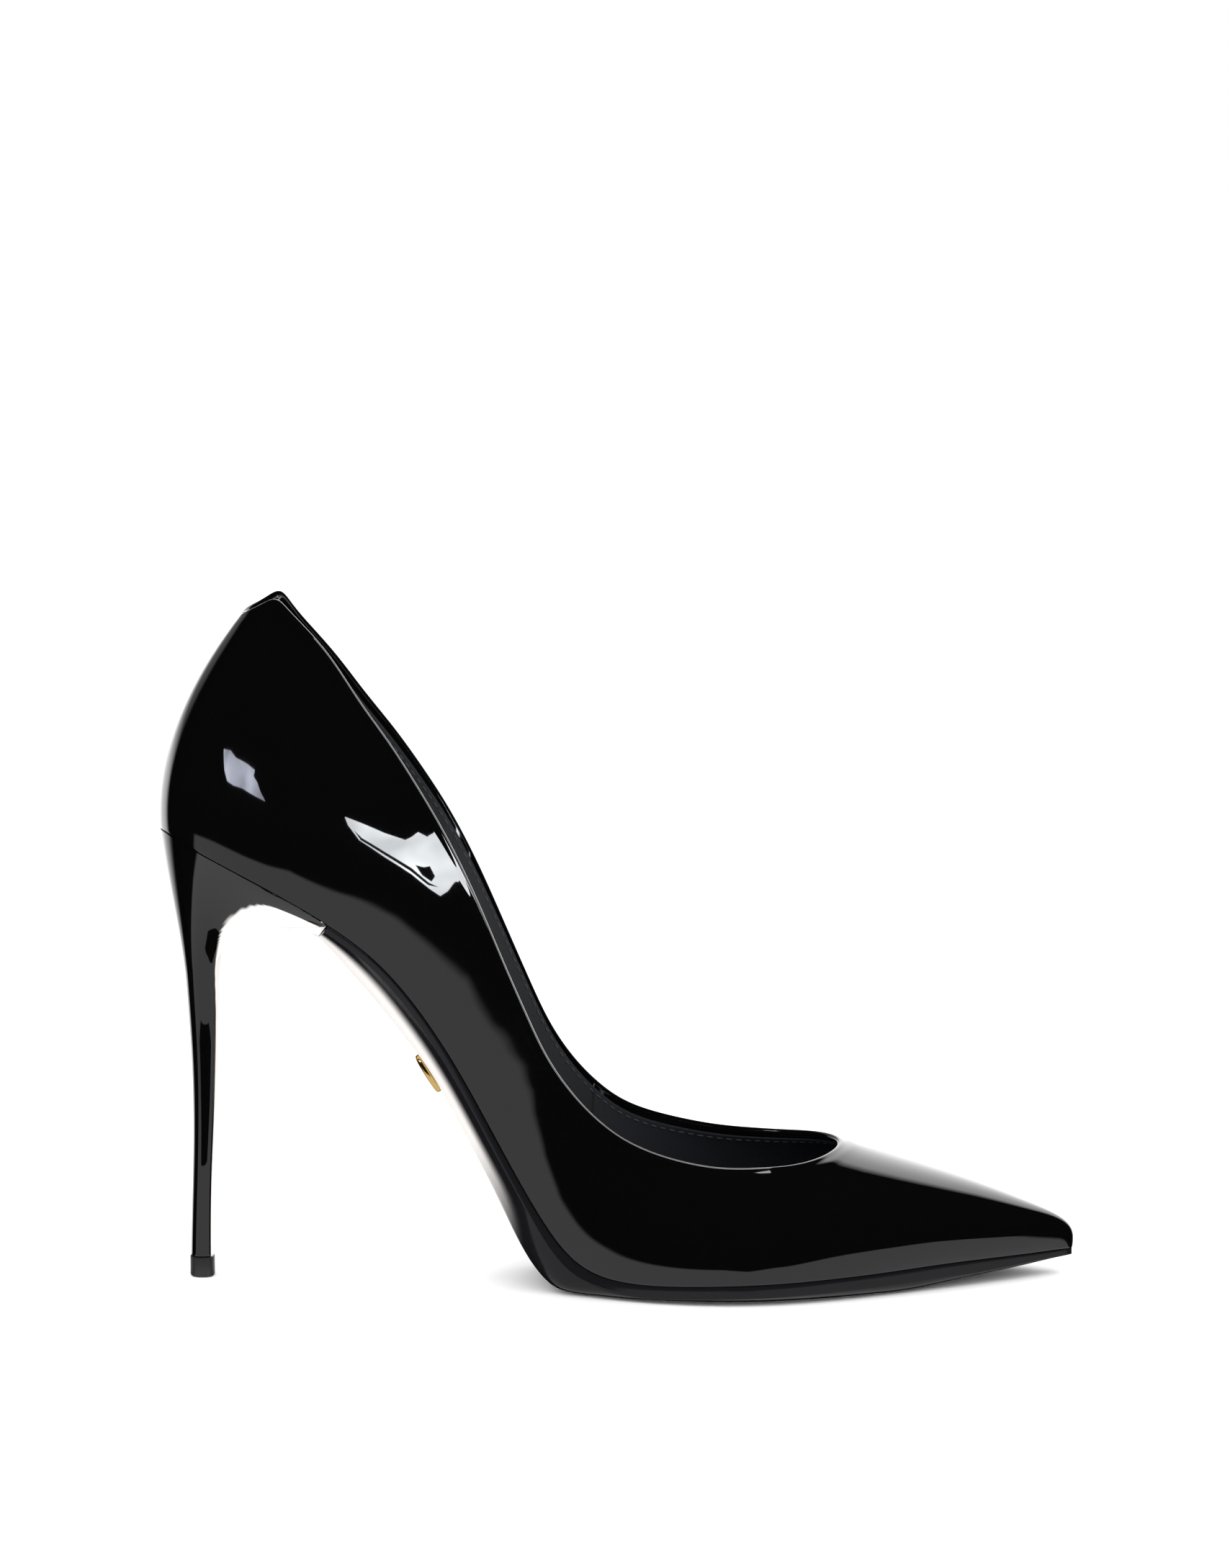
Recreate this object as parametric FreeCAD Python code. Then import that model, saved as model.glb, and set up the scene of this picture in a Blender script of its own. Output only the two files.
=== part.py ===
"""Stiletto court shoe (right foot): patent upper, linings, stiffeners, insole, shank, sole, covered heel.

Frame: +X from heel to toe, +Y to the inner (medial) side, +Z up, floor at z = 0.
The shapes are worked out with x = 0 at the back of the seat and y = 0 on the back seam,
and every piece is moved at the end so that the origin is the bottom centre of the shoe's box.
"""
import FreeCAD
import Part
import math
import os

V = FreeCAD.Vector

# ---- driving dimensions, mm ----
UPPER_LEATHER = 1.1          # patent leather, single thickness
TOPLINE_FOLD = 0.8           # extra thickness where the top edge is turned in
STIFFENER = 0.6              # toe puff and heel counter
SEAM_TAPE = 0.15             # tape over the back seam and round the top edge
LINING = 0.7
GRIP = 0.5                   # heel grip lining over the counter
FIT = 0.05                   # glue line between neighbouring layers
BOARD = 2.0                  # insole board
PAD = 1.8                    # foam under the sock
SOCK = 0.8
SOLE_EDGE_FRONT = 3.3        # straight part of the sole edge at the ball
SOLE_EDGE_WAIST = 1.9        # and at the waist
SOLE_INSET = 0.5             # sole edge stands in from the featherline
TREAD_CUT = 0.25             # taken off the bottom at the floor, which leaves the tread flat
SHANK_WIDTH = 12.0
SHANK_THICK = 1.4
HEEL_COVER = 0.9
HEEL_FRONT_X = 43.2          # the heel's front lip, where the sole begins
TOP_PIECE_HEIGHT = 5.0
TUBE_RADIUS = 1.5
DOWEL_RADIUS = 1.0
BACK_SEAM_GAP = 0.005        # half of the closed back seam, in stations (about 0.05 mm)

# Stations from the back seam (first) to the toe tip (last), both sides of the foot.
# featherline x, lateral y, medial y, z | upper guide x, half width, z |
# bulge outward, bulge upward (just above the featherline) | lean outward, drop (just below the guide)
STATIONS = [
    (0.1, 0.0, 0.0, 115.2, 26.0, 0.0, 175.5, 1.1, 18.0, 19.3, 22.5),
    (2.2, -9.6, 9.6, 115.1, 27.4, 5.0, 177.6, 1.3, 18.0, 17.0, 22.5),
    (7.5, -16.6, 16.6, 112.9, 31.2, 8.8, 179.0, 1.6, 18.5, 13.0, 22.5),
    (16.0, -21.4, 21.3, 108.9, 37.0, 11.4, 177.0, 1.9, 19.0, 9.5, 22.0),
    (29.0, -24.7, 23.8, 102.4, 45.5, 13.8, 167.0, 2.0, 19.0, 7.0, 21.0),
    (43.0, -24.2, 22.4, 94.0, 56.0, 17.2, 153.5, 2.1, 18.0, 4.6, 19.0),
    (57.5, -22.4, 18.8, 82.0, 67.5, 19.9, 137.0, 2.0, 17.0, 2.2, 17.5),
    (71.5, -21.2, 15.2, 63.2, 79.5, 21.0, 115.0, 1.6, 16.0, 0.6, 16.0),
    (83.0, -21.6, 13.8, 42.8, 89.5, 22.0, 92.0, 1.6, 15.0, 0.5, 14.0),
    (94.0, -23.2, 15.0, 22.9, 99.0, 22.8, 72.5, 1.0, 14.5, 0.7, 11.0),
    (104.5, -26.6, 18.4, 9.3, 108.5, 23.0, 59.0, 1.0, 14.0, 2.6, 7.5),
    (116.5, -31.6, 25.6, 4.9, 118.5, 20.8, 50.6, 1.0, 13.5, 8.4, 5.2),
    (130.0, -35.9, 32.6, 4.7, 130.5, 16.6, 45.4, 1.4, 12.0, 15.0, 3.6),
    (144.0, -37.4, 36.3, 5.1, 143.5, 10.2, 41.7, 2.0, 11.5, 20.5, 2.2),
    (157.0, -35.9, 36.6, 5.4, 156.0, 4.0, 38.9, 2.6, 11.0, 25.0, 0.9),
    (169.5, -31.9, 33.6, 5.7, 169.0, 0.0, 35.5, 3.1, 10.0, 28.5, 0.0),
    (182.0, -26.3, 29.0, 6.0, 182.0, 0.0, 31.4, 3.3, 8.6, 25.5, 0.0),
    (195.0, -19.5, 23.0, 6.4, 195.0, 0.0, 27.3, 3.4, 7.4, 20.6, 0.0),
    (208.0, -12.3, 16.6, 6.5, 208.0, 0.0, 22.9, 3.0, 6.0, 14.6, 0.0),
    (219.0, -5.8, 11.0, 6.4, 219.0, 0.0, 18.6, 2.2, 4.8, 9.2, 0.0),
    (226.8, -0.9, 6.8, 6.4, 227.2, 0.0, 14.9, 1.2, 3.6, 4.4, 0.0),
    (230.6, 1.6, 4.5, 6.4, 231.2, 0.0, 11.0, 0.4, 2.0, 1.5, 0.0),
    (231.4, 3.1, 3.1, 6.4, 231.4, 0.0, 6.4, 0.0, 0.0, 0.0, 0.0),
]
LAST = len(STATIONS) - 1     # the toe tip
RIDGE = 15                   # from here forward the two sides meet on the vamp ridge
BALL = 11                    # behind here the grid lines are plain stations

# Side view of the top edge: x, z on the lateral side, z on the medial side.
TOPLINE = [
    (21.0, 169.6, 169.6), (22.4, 170.7, 170.7), (25.0, 172.2, 171.9), (28.0, 173.8, 173.6),
    (30.3, 174.3, 174.0), (33.2, 172.2, 170.6), (38.0, 167.4, 164.6), (44.2, 160.2, 157.2),
    (51.4, 149.6, 147.4), (58.6, 139.6, 138.0), (65.8, 128.4, 127.7), (72.9, 115.9, 116.3),
    (80.1, 100.8, 102.0), (87.2, 83.9, 85.5), (92.6, 71.4, 72.8), (96.7, 62.6, 63.8),
    (101.8, 54.5, 55.3), (108.6, 46.9, 47.3), (115.8, 41.4, 41.4), (123.0, 38.0, 38.0),
    (130.5, 35.7, 35.8), (141.0, 33.7, 33.9), (151.0, 33.1, 33.4), (159.0, 33.1, 33.6),
    (166.6, 33.9, 34.3), (171.5, 34.8, 34.8), (180.0, 36.5, 36.5),
]

# Bottom centre line of the sole: x, z.
SOLE_BOTTOM = [
    (36.0, 90.6), (40.0, 87.9), (46.3, 80.9), (53.9, 72.0), (61.2, 62.9), (68.4, 52.9), (75.7, 39.6),
    (82.9, 25.6), (90.2, 11.6), (94.6, 5.2), (99.0, 1.2), (104.0, -0.1), (120.0, -0.2), (150.0, -0.2),
    (180.0, -0.2), (190.0, 0.1), (197.0, 0.9), (204.0, 1.8), (211.0, 2.5), (218.0, 3.2), (225.0, 4.0),
    (231.4, 4.6),
]

# Heel stem rings: z, back x, front x, half width.
STEM = [
    (76.0, 6.2, 15.3, 6.0), (66.0, 6.9, 15.0, 5.3), (54.0, 7.5, 14.5, 4.75), (41.0, 7.7, 13.9, 4.3),
    (28.0, 7.5, 13.2, 3.9), (15.0, 7.1, 12.8, 3.65), (TOP_PIECE_HEIGHT + FIT, 6.85, 12.7, 3.5),
]


# ---- small maths ----
class Spline:
    """Natural cubic spline through values at given parameters."""

    def __init__(self, ts, vs):
        n = len(ts)
        self.t = list(ts)
        self.v = list(vs)
        self.h = [ts[i + 1] - ts[i] for i in range(n - 1)]
        diag = [1.0] * n
        rhs = [0.0] * n
        for i in range(1, n - 1):
            before, after = self.h[i - 1], self.h[i]
            diag[i] = 2 * (before + after)
            rhs[i] = 6 * ((vs[i + 1] - vs[i]) / after - (vs[i] - vs[i - 1]) / before)
            if i > 1:
                m = before / diag[i - 1]
                diag[i] -= m * before
                rhs[i] -= m * rhs[i - 1]
        self.m = [0.0] * n
        for i in range(n - 2, 0, -1):
            self.m[i] = (rhs[i] - self.h[i] * self.m[i + 1]) / diag[i]

    def __call__(self, t):
        i = 0
        while i < len(self.h) - 1 and t > self.t[i + 1]:
            i += 1
        h = self.h[i]
        p, q = (self.t[i + 1] - t) / h, (t - self.t[i]) / h
        bend = (p ** 3 - p) * self.m[i] + (q ** 3 - q) * self.m[i + 1]
        return p * self.v[i] + q * self.v[i + 1] + bend * h * h / 6


def unit(v):
    return v.normalize() if v.Length > 1e-9 else v


def mix(a, b, w):
    return a * (1 - w) + b * w


def smooth(w):
    w = min(1.0, max(0.0, w))
    return w * w * (3 - 2 * w)


def steps(a, b, n):
    return [a + (b - a) * i / n for i in range(n + 1)]


# ---- the last: the surface that the upper is stretched over ----
def ridge_y(x):
    """The vamp ridge swings to the medial side towards the toe."""
    return 3.1 * max(0.0, (x - 150.0) / 81.4) ** 1.3


def side_of(k):
    return 1.0 if k > 0 else -1.0


def control_rows():
    """Four rows of control points, one column for each signed station (negative is lateral)."""
    ks = range(-LAST, LAST + 1)
    feet, tops = [], []
    for k in ks:
        fx, yl, ym, fz, tx, ty, tz = STATIONS[abs(k)][:7]
        feet.append(V(fx, ym if k > 0 else yl, fz))
        tops.append(V(tx, ridge_y(tx) + side_of(k) * ty, tz))
    lower, upper = [], []
    for i, k in enumerate(ks):
        bulge, rise, lean, drop = STATIONS[abs(k)][7:]
        out_foot = plan_outward(feet, i, k)
        out_top = plan_outward(tops, i, k)
        turn = max(0.0, min(1.0, (abs(k) - 8.0) / (RIDGE - 8.0)))
        out_top = unit(mix(out_top, V(0, side_of(k), 0), turn))
        if k == 0:
            out_top = V(-1, 0, 0)
        lower.append(feet[i] + out_foot * bulge + V(0, 0, rise))
        upper.append(tops[i] + out_top * lean - V(0, 0, drop))
    return [feet, lower, upper, tops]


def plan_outward(line, i, k):
    """Outward level direction of a plan line at one station."""
    if k == 0:
        return V(-1, 0, 0)
    if abs(k) == LAST:
        return V(1, 0, 0)
    along = line[i + 1] - line[i - 1]
    out = unit(V(along.y, -along.x, 0))
    return out if out.y * k >= -0.2 else out * -1


def offset_rows(rows, depth):
    """The same control rows a given depth inside the leather, squeezed near the toe tip."""
    inside = [[], [], [], []]
    count = 2 * LAST + 1
    for i in range(count):
        k = i - LAST
        room = 1000.0
        if abs(k) >= RIDGE:
            room = 0.6 * max(0.5, (STATIONS[abs(k)][2] - STATIONS[abs(k)][1]) / 2)
        d = room * (1 - math.exp(-depth / room))
        for j in range(4):
            if abs(k) == LAST:
                inside[j].append(rows[j][i] - V(2.2 * d, 0, 0))
                continue
            along = rows[j][min(count - 1, i + 1)] - rows[j][max(0, i - 1)]
            up = V(0, 0, 1) if j == 0 else rows[min(3, j + 1)][i] - rows[j - 1][i]
            inside[j].append(rows[j][i] + unit(along.cross(up)) * d)
    return inside


class LastSurface:
    """Point at signed station s and height t: 0 on the featherline, 1 on the upper guide."""

    made = {}

    def __init__(self, depth):
        rows = offset_rows(control_rows(), depth) if depth else control_rows()
        ks = list(range(-LAST, LAST + 1))
        self.rows = [[Spline(ks, [p[c] for p in row]) for c in range(3)] for row in rows]

    def __call__(self, s, t):
        weights = ((1 - t) ** 3, 3 * t * (1 - t) ** 2, 3 * t * t * (1 - t), t ** 3)
        point = V(0, 0, 0)
        for w, row in zip(weights, self.rows):
            if w:
                point += V(row[0](s), row[1](s), row[2](s)) * w
        return point


def last_surface(depth):
    depth = round(depth, 3)
    if depth not in LastSurface.made:
        LastSurface.made[depth] = LastSurface(depth)
    return LastSurface.made[depth]


TOP_EDGE = {
    -1: Spline([p[0] for p in TOPLINE], [p[1] for p in TOPLINE]),
    1: Spline([p[0] for p in TOPLINE], [p[2] for p in TOPLINE]),
}


def top_t(s):
    """Height t at which the top edge crosses station s; 1 on the vamp ridge."""
    surface, edge = last_surface(0), TOP_EDGE[1 if s > 0 else -1]

    def above(t):
        p = surface(s, t)
        return p.z - edge(min(180.0, max(21.0, p.x)))

    if above(1.0) <= 0:
        return 1.0
    low, high = 0.3, 1.0
    for _ in range(26):
        middle = (low + high) / 2
        if above(middle) > 0:
            high = middle
        else:
            low = middle
    return (low + high) / 2


def throat_station(side):
    """Station at which the top edge reaches the vamp ridge."""
    low, high = float(RIDGE) - 1.0, float(RIDGE) + 1.5
    for _ in range(30):
        middle = (low + high) / 2
        if top_t(side * middle) < 1.0:
            low = middle
        else:
            high = middle
    return low


def by_length(points, stations, fraction):
    """Station at a fraction of the length of a line given by sample points."""
    lengths = [0.0]
    for a, b in zip(points, points[1:]):
        lengths.append(lengths[-1] + (b - a).Length)
    target = fraction * lengths[-1]
    for i in range(len(lengths) - 1):
        if lengths[i + 1] >= target:
            w = (target - lengths[i]) / max(1e-9, lengths[i + 1] - lengths[i])
            return stations[i] + w * (stations[i + 1] - stations[i])
    return stations[-1]


class Fan:
    """Grid lines of one side: c 0 is the toe ridge, 1 the ball, 2 the back seam; tau 0 foot, 1 top edge."""

    def __init__(self, side):
        self.side = side
        surface = last_surface(0)
        self.throat = throat_station(side)
        self.foot_s = [LAST - (LAST - BALL) * (i / 120.0) ** 1.5 for i in range(121)]
        self.foot_p = [surface(side * s, 0) for s in self.foot_s]
        self.top_s = [self.throat - (self.throat - BALL) * (i / 120.0) ** 2 for i in range(121)]
        self.top_p = [surface(side * s, top_t(side * s)) for s in self.top_s]
        arc = []
        for k in range(LAST + 1):
            line = [surface(side * k, j / 12.0) for j in range(13)]
            arc.append(sum((b - a).Length for a, b in zip(line, line[1:])))
        self.arc = Spline(list(range(LAST + 1)), arc)

    def place(self, c, tau):
        """Station and height of a grid point."""
        if c >= 1.0:
            s = BALL * (2.0 - c)
            return s, tau * top_t(self.side * s)
        foot = by_length(self.foot_p, self.foot_s, c ** 1.5)
        top = by_length(self.top_p, self.top_s, c)
        s = mix(foot, top, tau)
        if tau <= 0.0:
            return foot, 0.0
        if c <= 0.0:
            return s, 1.0
        ridge_s = mix(float(LAST), self.throat, tau)
        narrowing = tau * self.arc(self.throat) / self.arc(ridge_s)
        t = top_t(self.side * top) * tau * self.arc(top) / self.arc(s)
        t /= narrowing ** ((1 - c) ** 2)
        return s, min(1.0, t)


FANS = {-1: Fan(-1), 1: Fan(1)}


def fan_point(c, tau, depth):
    """Point of a layer: c runs from -2 (back seam, lateral) over 0 (toe) to 2 (back seam, medial)."""
    side = -1 if c < 0 else 1
    s, t = FANS[side].place(abs(c), tau)
    return last_surface(depth)(side * s, t)


# ---- solids from grids of points ----
def curve_poles(points):
    curve = Part.BSplineCurve()
    curve.interpolate(Points=points, Parameters=[float(i) for i in range(len(points))])
    return curve


def surface_through(grid):
    """Smooth surface through a grid; edges depend on their own points only, so neighbours meet."""
    rows = [curve_poles(row) for row in grid]
    net = [row.getPoles() for row in rows]
    columns = [curve_poles([line[j] for line in net]) for j in range(len(net[0]))]
    poles = [[column.getPoles()[i] for column in columns] for i in range(columns[0].NbPoles)]
    surface = Part.BSplineSurface()
    surface.buildFromPolesMultsKnots(
        poles, columns[0].getMultiplicities(), rows[0].getMultiplicities(),
        columns[0].getKnots(), rows[0].getKnots(), False, False, columns[0].Degree, rows[0].Degree)
    return surface


def strip_between(line_a, line_b):
    """Ruled surface between two lines of the same number of points."""
    a, b = curve_poles(line_a), curve_poles(line_b)
    surface = Part.BSplineSurface()
    surface.buildFromPolesMultsKnots(
        [a.getPoles(), b.getPoles()], [2, 2], a.getMultiplicities(),
        [0.0, 1.0], a.getKnots(), False, False, 1, a.Degree)
    return surface


def sewn(surfaces):
    shell = Part.makeShell([s.toShape() for s in surfaces])
    shell.sewShape()
    solid = Part.Solid(shell)
    if solid.Volume < 0:
        solid.reverse()
    return solid


def solid_between(grid_a, grid_b):
    """Closed solid between two grids of the same size."""
    first = [row[0] for row in grid_a], [row[0] for row in grid_b]
    last = [row[-1] for row in grid_a], [row[-1] for row in grid_b]
    return sewn([
        surface_through(grid_a), surface_through(grid_b),
        strip_between(grid_a[0], grid_b[0]), strip_between(grid_a[-1], grid_b[-1]),
        strip_between(*first), strip_between(*last)])


def offset_grid(grid, depth):
    """Grid moved along its own normals."""
    rows, cols = len(grid), len(grid[0])
    moved = []
    for i in range(rows):
        line = []
        for j in range(cols):
            du = grid[min(rows - 1, i + 1)][j] - grid[max(0, i - 1)][j]
            dv = grid[i][min(cols - 1, j + 1)] - grid[i][max(0, j - 1)]
            line.append(grid[i][j] + unit(du.cross(dv)) * depth)
        moved.append(line)
    return moved


def rod(start, direction, radius, length):
    return Part.makeCylinder(radius, length, start, direction)


# ---- upper and its layers ----
def around(back):
    """Grid columns from the back seam, lateral, over the toe to the back seam, medial."""
    half = steps(0.0, 1.0, 20)[:-1] + steps(1.0, back, 16)
    return [-c for c in reversed(half[1:])] + half


def layer(columns, taus, outer, inner):
    """Sheet between two depths; each depth may depend on the height."""
    grid_a = [[fan_point(c, tau, outer(tau)) for c in columns] for tau in taus]
    grid_b = [[fan_point(c, tau, inner(tau)) for c in columns] for tau in taus]
    return solid_between(grid_a, grid_b)


def upper():
    taus = [0.0, 0.06, 0.14, 0.25, 0.38, 0.52, 0.66, 0.78, 0.86, 0.91, 0.955, 1.0]

    def inner(tau):
        return UPPER_LEATHER + TOPLINE_FOLD * smooth((tau - 0.89) / 0.06)

    return layer(around(2.0 - BACK_SEAM_GAP), taus, lambda tau: 0.0, inner)


def topline_tape():
    depth = UPPER_LEATHER + FIT
    columns = around(2.0 - BACK_SEAM_GAP)
    return layer(columns, steps(0.855, 0.88, 3), lambda tau: depth, lambda tau: depth + SEAM_TAPE)


def back_seam_tape():
    """Thin tape over the inside of the back seam."""
    depth = UPPER_LEATHER + FIT
    s_values, t_values = steps(-0.45, 0.45, 8), steps(0.03, 0.84, 8)
    return solid_between(
        counter_line(s_values, t_values, depth),
        counter_line(s_values, t_values, depth + SEAM_TAPE))


def toe_puff():
    depth = UPPER_LEATHER + FIT
    columns = steps(-0.52, 0.52, 26)
    return layer(columns, steps(0.03, 0.62, 8), lambda tau: depth, lambda tau: depth + STIFFENER)


def counter_line(s_values, t_values, depth):
    surface = last_surface(depth)
    return [[surface(s, t * top_t(s)) for s in s_values] for t in t_values]


def heel_counter():
    depth = UPPER_LEATHER + SEAM_TAPE + 2 * FIT
    s_values, t_values = steps(-5.6, 5.6, 28), steps(0.02, 0.72, 8)
    return solid_between(
        counter_line(s_values, t_values, depth),
        counter_line(s_values, t_values, depth + STIFFENER))


LINING_DEPTH = UPPER_LEATHER + max(TOPLINE_FOLD, SEAM_TAPE + STIFFENER + 2 * FIT) + FIT
LINING_TOP = 0.945


def lining(c_start, c_end, count):
    columns = steps(c_start, c_end, count)
    taus = steps(0.02, LINING_TOP, 10)
    return layer(columns, taus, lambda tau: LINING_DEPTH, lambda tau: LINING_DEPTH + LINING)


def vamp_lining():
    return lining(-1.08, 1.08, 44)


def quarter_lining_lateral():
    return lining(-1.99, -1.085, 18)


def quarter_lining_medial():
    return lining(1.085, 1.99, 18)


def heel_grip():
    depth = LINING_DEPTH + LINING + FIT
    s_values, t_values = steps(-4.4, 4.4, 24), steps(0.06, 0.93, 10)
    return solid_between(
        counter_line(s_values, t_values, depth),
        counter_line(s_values, t_values, depth + GRIP))


# ---- bottom: insole, shank, filler, sole ----
def seat_frame(s):
    """Featherline points of both sides at station s and the direction out of the sole."""
    surface = last_surface(0)
    left, right = surface(-s, 0), surface(s, 0)
    near, far = max(0.0, s - 0.05), min(float(LAST), s + 0.05)
    along = unit(surface(-far, 0) - surface(-near, 0))
    along = unit(V(along.x, 0, along.z))
    return left, right, V(along.z, 0, -along.x)


CROWN_SPLINE = Spline([4, 5, 6.5, 9, 11, 14, 18, 22], [0, 0.3, 1.6, 2.0, 1.0, 0.6, 0.3, 0])
POCKET = Spline([4.8, 5.6, 7, 10, 11, 14, 18, 22], [0, 1.5, 1.7, 1.7, 1.5, 1.2, 0.5, 0])


def crown_at(s):
    """How far the bottom of the foot bulges at its centre line, none over the heel."""
    return CROWN_SPLINE(s) * smooth(s - LIP) if s > LIP else 0.0


SEAT_SAMPLES = [last_surface(0)(-s, 0) for s in steps(0.0, LAST, 220)]


def seat_z(x):
    """Height of the featherline at x."""
    for a, b in zip(SEAT_SAMPLES, SEAT_SAMPLES[1:]):
        if b.x >= x:
            return mix(a.z, b.z, max(0.0, (x - a.x) / (b.x - a.x)))
    return SEAT_SAMPLES[-1].z


def inner_edge(s, side, inset):
    """Point of the foot's edge an inset inside the upper's face, at station s."""
    edge = last_surface(inset)(side * s, 0)
    return V(edge.x, edge.y, seat_z(edge.x))


def across(s, inset, level, count=8):
    """Line of points across the foot at station s, a level below the featherline."""
    out = seat_frame(s)[2]
    left, right = inner_edge(s, -1, inset), inner_edge(s, 1, inset)
    line = []
    for v in steps(0.0, 1.0, count):
        arch = 4 * v * (1 - v)
        line.append(mix(left, right, v) + out * (level(arch) + crown_at(s) * arch))
    return line


def bottom_slab(stations, inset, top, bottom, count=8):
    return solid_between(
        [across(s, inset, top, count) for s in stations],
        [across(s, inset, bottom, count) for s in stations])


INNER_EDGE = LINING_DEPTH + LINING + GRIP + 3 * FIT
FOOT_STATIONS = [0.45, 0.8, 1.3, 2, 3, 4, 5, 6, 7, 8, 9, 10, 11, 12, 13, 14, 15, 16, 17, 18, 19, 20]


def insole_board():
    return bottom_slab(FOOT_STATIONS, INNER_EDGE, lambda a: -BOARD, lambda a: -FIT)


def insock_pad():
    top = -BOARD - FIT - PAD
    return bottom_slab(FOOT_STATIONS[1:-1], INNER_EDGE, lambda a: top, lambda a: -BOARD - FIT)


def sock_liner():
    bottom = -BOARD - PAD - 2 * FIT
    return bottom_slab(FOOT_STATIONS[1:-1], INNER_EDGE, lambda a: bottom - SOCK, lambda a: bottom)


def pocket_depth(s, arch):
    """Depth of the hollow above the sole that takes the shank and the filler."""
    return max(0.0, POCKET(s)) * smooth(s - LIP) * smooth(arch * 1.25)


def shank():
    """Ribbed steel strip under the insole board from the heel seat to the ball."""
    top, bottom = [], []
    for s in steps(6.0, 10.0, 13):
        left, right, out = seat_frame(s)
        middle = mix(left, right, 0.5)
        line_top, line_bottom = [], []
        for w in steps(-0.5, 0.5, 8):
            y = middle.y + w * SHANK_WIDTH
            v = (y - left.y) / (right.y - left.y)
            arch = 4 * v * (1 - v)
            level = crown_at(s) * arch + 2 * FIT
            point = V(middle.x, y, middle.z) + out * level
            line_top.append(point)
            line_bottom.append(point + out * SHANK_THICK * (1 - 0.35 * abs(2 * w)))
        top.append(line_top)
        bottom.append(line_bottom)
    return solid_between(top, bottom)


def forefoot_filler():
    """Cork sheet that levels the hollow inside the lasted edge."""
    stations = [10.2, 11, 12, 13, 14, 15, 16, 17, 18]
    top, bottom = [], []
    for s in stations:
        left, right, out = seat_frame(s)
        line_top, line_bottom = [], []
        for v in steps(0.16, 0.84, 8):
            arch = 4 * v * (1 - v)
            base = V(left.x, mix(left.y, right.y, v), left.z) + out * (crown_at(s) * arch + FIT)
            thick = max(0.12, pocket_depth(s, arch) - 2 * FIT)
            line_top.append(base)
            line_bottom.append(base + out * thick)
        top.append(line_top)
        bottom.append(line_bottom)
    return solid_between(top, bottom)


BOTTOM_SPLINE = Spline([p[0] for p in SOLE_BOTTOM], [p[1] for p in SOLE_BOTTOM])


def bottom_line(x):
    """Height of the sole's bottom on its centre line; a little below the floor where the tread is cut flat."""
    return max(-TREAD_CUT, BOTTOM_SPLINE(x))


def sole_depth(s):
    """Thickness of the whole bottom on its centre line, down to the bottom line."""
    left, right, out = seat_frame(s)
    middle = mix(left, right, 0.5)
    low, high = 0.5, 25.0
    for _ in range(30):
        depth = (low + high) / 2
        p = middle + out * depth
        if p.z > bottom_line(p.x):
            low = depth
        else:
            high = depth
    return low


def sole_shape(s):
    """Depth of the sole's edge and centre at station s, and how flat it is between them."""
    front = smooth((s - 8.6) / 2.6)
    centre = sole_depth(s)
    edge = min(mix(SOLE_EDGE_WAIST, SOLE_EDGE_FRONT, front), 0.72 * centre)
    return edge, centre, 2.3 + 13.0 * front


def sole_section(s, count=20):
    """Top and bottom lines of the sole at station s."""
    left, right, out = seat_frame(s)
    edge, centre, flat = sole_shape(s)
    top, bottom = [], []
    for i in range(count + 1):
        v = 0.5 - 0.5 * math.cos(math.pi * i / count)
        arch = 4 * v * (1 - v)
        base = V(left.x, mix(left.y + SOLE_INSET, right.y - SOLE_INSET, v), left.z)
        top.append(base + out * (2 * FIT + crown_at(s) * arch + pocket_depth(s, arch)))
        bottom.append(base + out * (edge + (centre - edge) * (1 - abs(2 * v - 1) ** flat)))
    return top, bottom


def front_lip_station():
    low, high = 4.0, 6.0
    for _ in range(30):
        middle = (low + high) / 2
        if last_surface(0)(-middle, 0).x < HEEL_FRONT_X:
            low = middle
        else:
            high = middle
    return low


LIP = front_lip_station()


def outsole():
    stations = [LIP + 0.02] + steps(5.2, 12.0, 24) + steps(12.5, 21.0, 18) + [21.4]
    sections = [sole_section(s) for s in stations]
    sole = solid_between([a for a, b in sections], [b for a, b in sections])
    return sole.cut(Part.makeBox(240.0, 120.0, 5.0, V(0, -60, -5)))


# ---- heel ----
LIP_CORNER = 0.68            # share of the heel's edge that runs round the seat


def heel_edge(side, along):
    """Upper edge of the heel: round the seat, then across under its front lip, as the sole's end."""
    if along <= LIP_CORNER:
        return last_surface(0)(side * LIP * along / LIP_CORNER, 0) - V(0, 0, FIT)
    w = (along - LIP_CORNER) / (1 - LIP_CORNER)
    v = 0.5 * w if side < 0 else 1 - 0.5 * w
    left, right, out = seat_frame(LIP)
    y = mix(left.y, right.y, v)
    edge, centre, flat = sole_shape(LIP)
    depth = edge + (centre - edge) * (1 - abs(2 * v - 1) ** flat)
    return V(left.x, y, left.z) + out * (FIT + (depth - FIT) * smooth(4 * w))


HEEL_LEAVE = [
    Spline([0, 0.2, 0.4, 0.55, 0.68, 0.85, 1.0], [4.5, 7.0, 5.0, -2.0, -12.0, -25.0, -30.0]),
    Spline([0, 0.2, 0.4, 0.55, 0.68, 0.85, 1.0], [0.0, 4.5, 9.0, 11.0, 12.0, 6.0, 0.0]),
    Spline([0, 0.2, 0.4, 0.55, 0.68, 0.85, 1.0], [-40.0, -33.0, -22.0, -16.0, -7.0, 13.0, 24.0]),
]


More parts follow.
